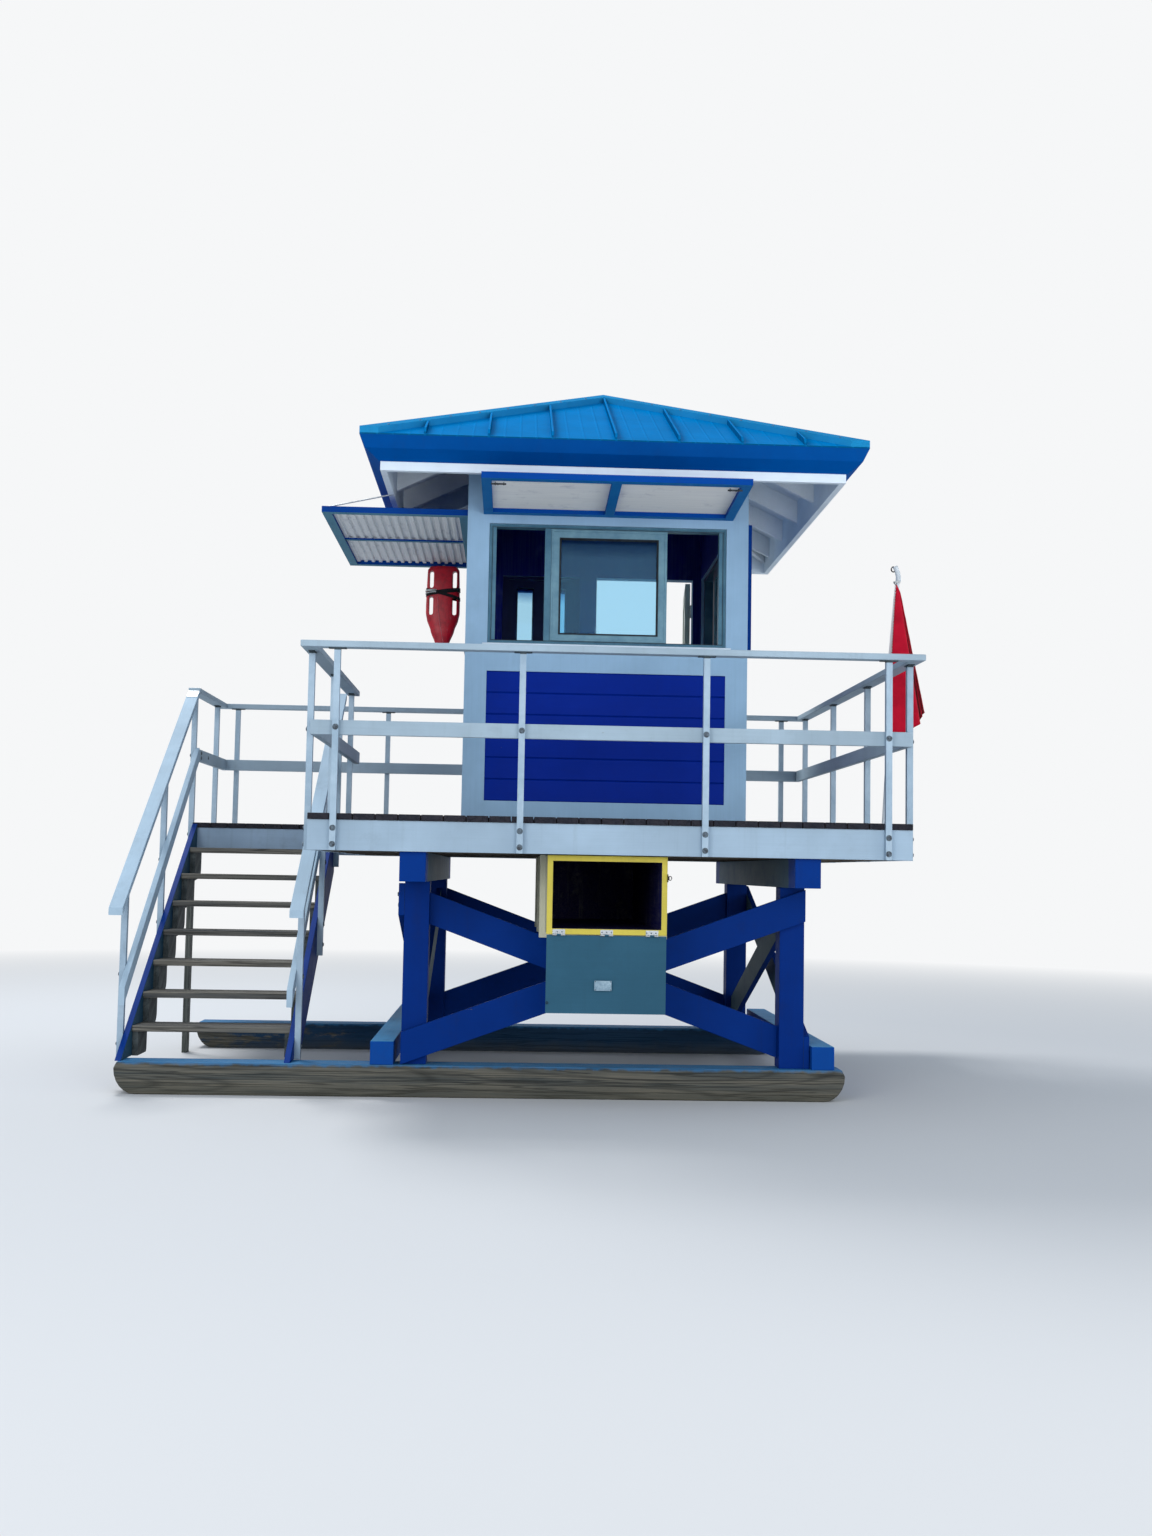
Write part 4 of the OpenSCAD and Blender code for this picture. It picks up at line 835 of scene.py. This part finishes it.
def coated_sheet(name, colour, ribs=0.0):
    """Coated steel: soft oil-can waves, chalky film, and faint pencil ribs between the seams, with painted
    shade on the upright seam sides and a painted highlight along each rib.
    """
    sheet = Finish(name, Specular_IOR_Level=0.0, Coat_Weight=0.05, Coat_Roughness=0.3)
    base = paint(*colour)
    chalk = sheet.noise(2.6, 5, 0.65)
    runs = sheet.noise(16, 4, 0.6, along("Z", 0.1))
    relief = sheet.noise(1.9, 2, 0.4)
    stains = sheet.noise(60, 5, 0.7).past(0.6, 0.75)
    tone = sheet.mix(chalk.past(0.32, 0.7), shaded(base, 0.88), shaded(base, 1.08))
    tone = sheet.mix(runs.past(0.55, 0.75) * 0.22, tone, shaded(base, 0.62, 0.01))
    tone = sheet.mix(stains * 0.25, tone, shaded(base, 0.7, 0.02))
    if ribs:
        # Painted shade: the upright sides of the seams are darkened to about a quarter.
        upright = 1 - sheet.facing("Z").away().past(0.3, 0.6)
        tone = sheet.mix(upright * 0.8, tone, shaded(base, 0.26))
        sideways = (sheet.facing("X").away() - sheet.facing("Y").away()).past(-0.01, 0.01)
        across = sheet.axis("Y") * sideways + (sheet.axis("X") - middle) * (1 - sideways)
        pencil = ((across + 0.05) / ribs * 2).zigzag().past(0.80, 0.96)
        relief = relief + pencil * 0.35
        # Painted highlight: each pencil rib is lightened along its crest.
        tone = sheet.mix(pencil * 0.16, tone, shaded(base, 1.25))
    sheet.surface(tone, 0.30 + chalk * 0.22, relief, 0.006)
    return sheet


dress(coated_sheet("fascia_metal", (0, 74, 148)), "roof_fascia")

# Roof cladding: standing-seam sheets of azure coated steel, one strip between each pair of seams,
# with folded caps over the four hips, screwed down along both edges.
dress(coated_sheet("roof_metal", (0, 126, 196), ribs=0.1), "roof_panels")
# Painted highlight: the hip caps are written paler than the panels, for the sky light they catch.
dress(coated_sheet("hip_metal", (30, 136, 192)), "hip_caps")
cap_zinc = mottled("cap_screws", (90, 3, 0.6), (0.4, 0.65), (20, 104, 160), (96, 110, 120), 0.45, 0.2, 0.0003,
                   Metallic=0.3)
cap_pitch, cap_half, diagonal, over_roof = 0.262, 0.066, 1.4142, 6
cap_screws = []
for u, v in ((1, 1), (-1, 1), (-1, -1), (1, -1)):
    for step in range(1, 9):
        for aside in (-cap_half, cap_half):
            x, y = u * step * cap_pitch - v * aside, v * step * cap_pitch + u * aside
            cap_screws.append((middle + x / diagonal, y / diagonal, over_roof))
heads("cap_screws", landed(cap_screws, (0, 0, -1), "hip_caps"), cap_zinc, 0.0055, 0.005, 0.009, 6, 0.0025)

# Board locker: a plywood box hung under the joists on timber cradles, all in cream paint, with a yellow
# frame at its mouth and a slate-blue flap that hangs open from three butt hinges.


def inside_locker(coat):
    """The inside of the box, in deep shade."""
    across = (coat.axis("X") - middle + 0.020).away().past(0.3469, 0.3471)
    height = (coat.axis("Z") - 1.286).away().past(0.2199, 0.2201)
    return [((1 - across) * (1 - height) * coat.axis("Y").past(-1.7535, -1.7533), (4, 6, 84))]


mouth_paint = painted_wood("locker_yellow", (208, 192, 84), "X", wear=0.9, second=inside_locker)
eased(mouth_paint, 0.002, "locker_mouth", slot="yellow_paint")
locker_cream = painted_wood("locker_cream", (212, 211, 188), "Y", wear=1.0, second=inside_locker)
dress(locker_cream, "locker_box")
eased(locker_cream, 0.003, "locker_hangers", slot="cream_paint")
flap_paint = painted_wood("flap_paint", (50, 92, 114), "X", wear=0.7)
eased(flap_paint, 0.003, "locker_flap", slot="slate_paint", body="flap")


def block(mesh, low, high, round_=0.002):
    """A small box with softened edges, added to a shape that is being built."""
    size = [b - a for a, b in zip(low, high)]
    centre = [(a + b) / 2 for a, b in zip(low, high)]
    place = Matrix.Translation(centre) @ Matrix.Diagonal((*size, 1))
    made = bmesh.ops.create_cube(mesh, size=1, matrix=place)
    edges = {e for v in made["verts"] for e in v.link_edges}
    bmesh.ops.bevel(mesh, geom=list(edges), offset=min(round_, min(size) * 0.45), segments=2, affect="EDGES")
    return mesh


hinge_screws = [(middle + x + aside, -3, 1.0625) for x in (-0.2905, -0.020, 0.2505)
                for aside in (-0.028, 0.0, 0.028)]
on_mouth = landed(hinge_screws, (0, 1, 0), "hinges")
heads("mouth_hinge_screws", on_mouth, zinc, 0.0036, 0.0012, 0.0045, 8, 0.0005)
plate_metal = Finish("label_plate", Metallic=0.6, Specular_IOR_Level=0.4)
brushed = plate_metal.noise(180, 3, 0.6, along("X", 0.03))
scratch = plate_metal.noise(40, 6, 0.75).past(0.42, 0.62)
skin = plate_metal.mix(scratch, paint(112, 138, 156), paint(146, 170, 184))
plate_metal.surface(skin, 0.4 + brushed * 0.2, brushed, 0.0003)
flap_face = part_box("locker_flap")[0][1]
plate_face = flap_face - 0.0015
plate = block(bmesh.new(), (middle - 0.0905, plate_face, 0.713), (middle + 0.0135, flap_face, 0.773), 0.0006)
gathered("label_plate", [plate], plate_metal, "flap", smooth=False)
rivets = [((middle + x, plate_face, z), (0, -1, 0)) for x in (-0.085, 0.008) for z in (0.7185, 0.7675)]
heads("label_rivets", rivets, zinc, 0.0028, 0.0016, 0.0034, 10, 0.0004, body="flap")
eyelet = hoop((middle - 0.374, flap_face + 0.0022, 0.637), (1, 0, 0), (0, 0, 1), 0.0065, 0.0065, 0.0019)
gathered("flap_eyelet", [eyelet], rubber, "flap")
black_steel = mottled("black_steel", (80, 4, 0.7), (0.5, 0.7), (22, 24, 30), (70, 58, 50), 0.5, 0.2, 0.0005,
                      Metallic=0.5, Specular_IOR_Level=0.4)
mouth_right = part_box("locker_mouth")[1][0]
hasp = block(bmesh.new(), (mouth_right, -1.770, 1.372), (mouth_right + 0.004, -1.736, 1.420), 0.001)
block(hasp, (mouth_right, -1.757, 1.384), (mouth_right + 0.012, -1.747, 1.408))
staple = hoop((mouth_right + 0.016, -1.752, 1.396), (1, 0, 0), (0, 0, 1), 0.010, 0.012, 0.0025)
gathered("mouth_hasp", [hasp, staple], black_steel, smooth=False)

# Rear door: a panelled timber leaf in off-white paint, on three butt hinges, with round handles.
# It stands open, square to the rear wall.
dress(painted_wood("door_paint", (200, 206, 196), "Z", wear=0.6), "rear_door")

# Rescue can: a rotationally moulded red float, hung under the left shutter by a steel hook. Four long
# grab slots go right through it, and a black webbing band with white cord lashings goes round its waist.
red = Finish("can_red", Specular_IOR_Level=0.4, Coat_Weight=0.1, Coat_Roughness=0.3)
scuff = red.noise(22, 6, 0.7)
bleach = red.noise(5, 4, 0.6)
skin = red.mix(scuff.past(0.45, 0.7), paint(196, 10, 40), paint(146, 2, 30))
skin = red.mix(bleach.past(0.5, 0.75) * 0.3, skin, paint(222, 66, 70))
red.surface(skin, 0.3 + scuff * 0.25, red.noise(300, 2, 0.5) * 0.4 + scuff * 0.6, 0.0006)
(can_x0, can_y0, can_foot), (can_x1, can_y1, _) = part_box("rescue_can")
can_x, can_y, can_long = (can_x0 + can_x1) / 2, (can_y0 + can_y1) / 2, 0.620
half_wide, half_deep, can_sides, can_levels = 0.133, 0.063, 56, 40
widths = ((0, 0.34), (0.015, 0.42), (0.18, 0.70), (0.32, 0.93), (0.40, 1.0), (0.50, 1.0), (0.72, 0.97),
          (0.955, 0.94), (1.0, 0.76))
depths = ((0, 0.40), (0.02, 0.56), (0.18, 0.80), (0.35, 0.97), (0.50, 1.0), (0.80, 0.96), (0.955, 0.82),
          (1.0, 0.60))


def between(stops, at):
    """The value at a level of the float, eased from one stop to the next."""
    for (a, low), (b, high) in zip(stops, stops[1:]):
        if at <= b:
            share = (at - a) / (b - a)
            share = share * share * (3 - 2 * share) * 0.6 + share * 0.4
            return low + (high - low) * share
    return stops[-1][1]


def can_ring(at, grow=0.0):
    """One level of the float: nearly an ellipse, a little squared."""
    ring = []
    for k in range(can_sides):
        c, d = math.cos(2 * math.pi * k / can_sides), math.sin(2 * math.pi * k / can_sides)
        ring.append((can_x + math.copysign(abs(c) ** 0.78, c) * (half_wide * between(widths, at) + grow),
                     can_y + math.copysign(abs(d) ** 0.88, d) * (half_deep * between(depths, at) + grow),
                     can_foot + at * can_long))
    return ring


def slot_tool(x, low, high):
    """What is cut out for one grab slot, right through the float."""
    outline = []
    head, foot = can_foot + high * can_long - slot_half, can_foot + low * can_long + slot_half
    for end, first in ((head, 0), (foot, 180)):
        for angle in range(first, first + 181, 20):
            a = math.radians(angle)
            outline.append((can_x + x + slot_half * math.cos(a), end + slot_half * math.sin(a)))
    return skinned([[(u, can_y + through, w) for u, w in outline] for through in (-0.1, 0.1)])


# The float is one moulding: cut, then rebuilt in even cells, so that every edge comes out soft
slot_x, slot_half = 0.0905, 0.0157
slots = [slot_tool(x * closer, low, high) for x in (-slot_x, slot_x)
         for closer, low, high in ((1, 0.372, 0.615), (0.99, 0.715, 0.94))]
levels = [can_ring(k / can_levels) for k in range(can_levels + 1)]
float_body = placed("float_draft", settled(skinned(levels), "float_draft"))
slot_body = placed("slot_draft", settled(merged(slots), "slot_draft"))
cut = float_body.modifiers.new("slots", "BOOLEAN")
cut.operation, cut.solver, cut.object = "DIFFERENCE", "EXACT", slot_body
even = float_body.modifiers.new("even", "REMESH")
even.mode, even.voxel_size = "VOXEL", 0.0045
soft = float_body.modifiers.new("soft", "SMOOTH")
soft.factor, soft.iterations = 0.6, 9
moulded = bpy.data.meshes.new_from_object(float_body.evaluated_get(bpy.context.evaluated_depsgraph_get()))
for spare in (float_body, slot_body):
    bpy.data.objects.remove(spare)
moulded.polygons.foreach_set("use_smooth", [True] * len(moulded.polygons))
can = piece("rescue_float", moulded, red)
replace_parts(can, "rescue_can")

webbing = mottled("webbing", (500, 2, 0.5, (1, 1, 0.4)), (0.35, 0.65), (14, 14, 18), (40, 40, 44), 0.8, 0.1,
                  0.0008, Specular_IOR_Level=0.2)
belts = []
for at, slant, tall in ((0.668, 0.020, 0.026), (0.640, -0.035, 0.020)):
    section = ((-tall, 0.0015), (-tall, 0.0045), (tall, 0.0045), (tall, 0.0015))
    rings = [[(x, y, z + slant * (x - can_x) / half_wide) for x, y, z in can_ring(at + up, grow)]
             for up, grow in section]
    belts.append(skinned(rings, closed=False))
gathered("can_belts", belts, webbing, smooth=False)
cord_white = mottled("lashing_cord", (260, 2, 0.5, (1, 1, 2)), (0.3, 0.7), (186, 190, 190), (224, 226, 224),
                     0.8, 0.0, 0.0008, Specular_IOR_Level=0.2)
waist = can_foot + 0.665 * can_long
lashing = [hoop((can_x - 0.080, can_y, waist + up), (1, 0, slant), (0, 1, 0), 0.057, 0.0685, 0.0034, 28)
           for up, slant in ((-0.006, 0.10), (0.004, -0.06), (0.014, 0.04))]
gathered("can_lashing", lashing, cord_white)
seam_pale = mottled("can_seam", (60, 4, 0.7), (0.35, 0.65), (214, 120, 128), (190, 80, 92), 0.5, 0.2, None,
                    Specular_IOR_Level=0.3)
seam_points = 24
seam_line = []
for k in range(seam_points):
    share = k / (seam_points - 1)
    at = 0.60 - 0.585 * share
    x = can_x - 0.040 + 0.052 * share ** 1.6
    on_front = [spot for spot in can_ring(at, 0.0004) if spot[1] <= can_y]
    seam_line.append((x, min(on_front, key=lambda spot: abs(spot[0] - x))[1], can_foot + at * can_long))
gathered("can_seam", [tube(seam_line, 0.0026, 8)], seam_pale)
hook_z = can_foot + can_long
hooks = [hoop((can_x, can_y, hook_z), (1, 0, 0), (0, 0, 1), 0.011, 0.013, 0.0028),
         hoop((can_x, can_y, hook_z - 0.010), (0, 1, 0), (0, 0, 1), 0.016, 0.016, 0.0035)]
gathered("can_hook", hooks, stay_steel)

# Flag pole: a white painted tube that stands on the deck frame and leans out over the right rail,
# with a bent cap and a ring of black webbing at its head.
pole_paint = mottled("pole_white", (20, 5, 0.7, along("Z", 0.2)), (0.4, 0.7), (206, 214, 220),
                     (176, 186, 194), 0.4, 0.2, 0.0006, Specular_IOR_Level=0.5)
dress(pole_paint, "flag_pole")
pole_foot, pole_lean = Vector((middle + 1.8426, -1.009, 1.559)), math.radians(3.06)
pole_way = Vector((math.sin(pole_lean), 0, math.cos(pole_lean)))


def up_pole(z):
    """The middle of the pole at a height."""
    return pole_foot + pole_way * ((z - pole_foot.z) / pole_way.z)


ring = hoop(up_pole(3.486) - Vector((0.033, 0, 0)), (1, 0, 0), (0, 0, 1), 0.014, 0.017, 0.0042)
gathered("pole_ring", [ring], webbing)
cap_path = [up_pole(3.405 + 0.0144 * k) + Vector((0.006 - 0.0006 * k * k, -0.002, 0)) for k in range(8)]
gathered("pole_cap", [tube(cap_path, 0.0165, 16)], pole_paint)

# Flag: a sheet of 36 by 24 inch bunting, laced along its short side and hanging dead: from the top
# corner it falls in flat folds, the top edge outside, so every fold line runs out from that corner.
fly, hoist = 0.914, 0.610
outer_folds = [(10.4, -1.0), (9.8, -6.5), (9.3, -0.9), (8.7, -6.7), (8.1, -1.0), (7.5, -6.8), (-4.9, -5.6)]
inner_folds = [(5.4 if k % 2 == 0 else -2.8, k * 0.75 - 4.9) for k in range(6)] + [(-4.8, 0.0)]


def fan(spread):
    """The fold line as the directions of the cloth seen from its top corner, with soft turns."""
    line = outer_folds + [(a if a < 0 else a * spread, b) for a, b in inner_folds]
    for most in (0.7, 0.32, 0.15):
        cut = [line[0]]
        for (a, b), (c, d) in zip(line, line[1:]):
            near = min(0.25, most / max(1e-6, math.hypot(c - a, d - b)))
            cut.append((a + (c - a) * near, b + (d - b) * near))
            cut.append((c - (c - a) * near, d - (d - b) * near))
        line = cut + [line[-1]]
    ways = []
    for sideways, forward in line:
        a, b = math.radians(sideways), math.radians(forward)
        ways.append(Vector((math.sin(a) * math.cos(b), math.sin(b), -math.cos(a) * math.cos(b))))
    reach = [0.0]
    for one, other in zip(ways, ways[1:]):
        reach.append(reach[-1] + one.angle(other))
    return ways, reach


# The inner folds open until the cloth between the top edge and the heading is a right angle again
low, high = 0.1, 3.0
for _ in range(30):
    spread = (low + high) / 2
    ways, reach = fan(spread)
    low, high = (spread, high) if reach[-1] < math.pi / 2 else (low, spread)
corner = up_pole(3.412) + Vector((-0.018, -0.0115, 0))


def hang(u, v):
    """Where a point of the flat sheet hangs: straight down its own ray, a little bunched under the tie."""
    far, angle = math.hypot(u, v), math.atan2(v, u)
    k = max(n for n in range(len(reach)) if reach[n] <= angle + 1e-9)
    k = min(k, len(reach) - 2)
    share = min(1.0, (angle - reach[k]) / max(1e-6, reach[k + 1] - reach[k]))
    way = ways[k].lerp(ways[k + 1], share).normalized()
    bunch = min(1.0, far / 0.10)
    return corner + way * far + Vector((0.085 * (way.x + 0.053) * bunch * bunch * (3 - 2 * bunch), 0, 0))


cells_fly, cells_hoist = 84, 56
row = cells_fly + 1
flats = [(fly * i / cells_fly, hoist * j / cells_hoist) for j in range(cells_hoist + 1) for i in range(row)]
quads = [(at, at + row, at + row + 1, at + 1)
         for j in range(cells_hoist) for at in range(j * row, j * row + cells_fly)]
sheet = bpy.data.meshes.new("flag_sheet")
sheet.from_pydata([hang(u, v) for u, v in flats], [], quads)
laid = sheet.uv_layers.new(name="laid_flat")
for loop in sheet.loops:
    laid.data[loop.index].uv = flats[loop.vertex_index]
sheet.polygons.foreach_set("use_smooth", [True] * len(sheet.polygons))
cloth = Finish("flag_cloth", Roughness=0.8, Sheen_Weight=0.15, Specular_IOR_Level=0.1)
threads = cloth.node("UVMap", {"uv_map": "laid_flat"})
along_fly, along_hoist = (cloth.node("SeparateXYZ", out=name, Vector=threads) for name in "XY")
thread_count, hem, heading = 900, 0.016, 0.030
weave = (along_fly * thread_count).zigzag() * 0.5 + (along_hoist * thread_count).zigzag() * 0.5
puckers = cloth.node("TexNoise", Vector=threads, Scale=26, Detail=3)
faded = cloth.node("TexNoise", Vector=threads, Scale=5, Detail=5, Roughness=0.65)
hems = [(at - size / 2).away().past(size / 2 - hem, size / 2 - hem + 0.0005)
        for at, size in ((along_fly, fly), (along_hoist, hoist))]
edge = hems[0].maths("MAXIMUM", *hems)
shade = cloth.mix(faded.past(0.35, 0.7), paint(186, 8, 42), paint(150, 0, 30))
shade = cloth.mix(edge * 0.3, shade, paint(130, 0, 26))
shade = cloth.mix(along_fly.past(heading, heading - 0.001), shade, paint(214, 212, 214))
cloth.surface(shade, 0.78 + weave * 0.1, weave * 0.25 + puckers * 0.6 + edge * 0.3, 0.0012)
flag = piece("flag_sheet", sheet, cloth)
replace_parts(flag, "flag")
grommets = gathered("flag_grommets", [hoop(hang(0.014, down), (1, 0, 0), (0, 0, 1), 0.009, 0.009, 0.0022)
                                      for down in (0.016, hoist - 0.016)], zinc)
ties = [hoop(up_pole(z) - Vector((slack, 0, 0)), (1, 0, 0), (0, 1, 0), 0.0185 + slack, 0.0175, 0.0026)
        for z, slack in ((3.402, 0.004), (3.396, 0.004), (2.812, 0.015), (2.806, 0.015))]
gathered("flag_ties", ties, cord_white)

# Studio: a plain pale floor that keeps the object's shadow, an even white surround, and four soft lamps,
# the strongest high behind on the left, the others in front and low on the right.
floor_mesh = bmesh.new()
bmesh.ops.create_grid(floor_mesh, x_segments=1, y_segments=1, size=60)
floor = placed("studio_floor", settled(floor_mesh, "studio_floor"))
pale_floor = Finish("studio_floor", Specular_IOR_Level=0.0)
pale_floor.surface(paint(214, 215, 216), 0.9)
far_out = (pale_floor.axis("X") ** 2 + pale_floor.axis("Y") ** 2).past(30, 260)
haze = pale_floor.node("Emission", Color=paint(246, 247, 248), Strength=1.0)
seen = pale_floor.node("LightPath", out="Is Camera Ray")
plain = Signal(pale_floor, pale_floor.shader.outputs[0])
faded = pale_floor.node("MixShader", **{"0": far_out * seen, "1": plain, "2": haze})
pale_floor.feed(pale_floor.tree.nodes["Material Output"].inputs["Surface"], faded)
floor.data.materials.append(pale_floor.material)


class Surround(Wiring):
    """The even light all round, which a camera, a mirror or a pane sees as white."""

    def __init__(self, name):
        self.world = bpy.data.worlds.new(name)
        self.world.use_nodes = True
        self.tree = self.world.node_tree


studio = Surround("studio")
bpy.context.scene.world = studio.world
seen = studio.node("LightPath", out="Is Camera Ray")
mirrored = studio.node("LightPath", out="Is Glossy Ray")
through = studio.node("LightPath", out="Is Transmission Ray")
lit = studio.node("Background", Color=paint(222, 234, 248), Strength=0.68)
white = studio.node("Background", Color=paint(246, 247, 248), Strength=1.0)
both = studio.node("MixShader", **{"0": (seen + mirrored + through).past(0, 1), "1": lit, "2": white})
studio.feed(studio.tree.nodes["World Output"].inputs["Surface"], both)


def lamp(name, place, aim, power, size, spread=180):
    """A round soft lamp, in watts and metres, that looks at a point."""
    light = bpy.data.lights.new(name, "AREA")
    light.shape = "DISK"
    light.size = size
    light.spread = math.radians(spread)
    light.energy = power
    held = placed(name, light)
    held.location = place
    held.rotation_euler = (Vector(aim) - Vector(place)).to_track_quat("-Z", "Y").to_euler()


lamp("key_lamp", (-5, 5, 12), (0, 0, 2.2), 1030, 4)
lamp("front_lamp", (-5, -11, 5), (0, 0, 2.0), 420, 7)
lamp("low_lamp", (3, -10, 2.4), (0, 0, 3.8), 85, 4, 120)
lamp("side_lamp", (8, -4, 1.7), (1.2, 0, 4.0), 52, 3, 100)
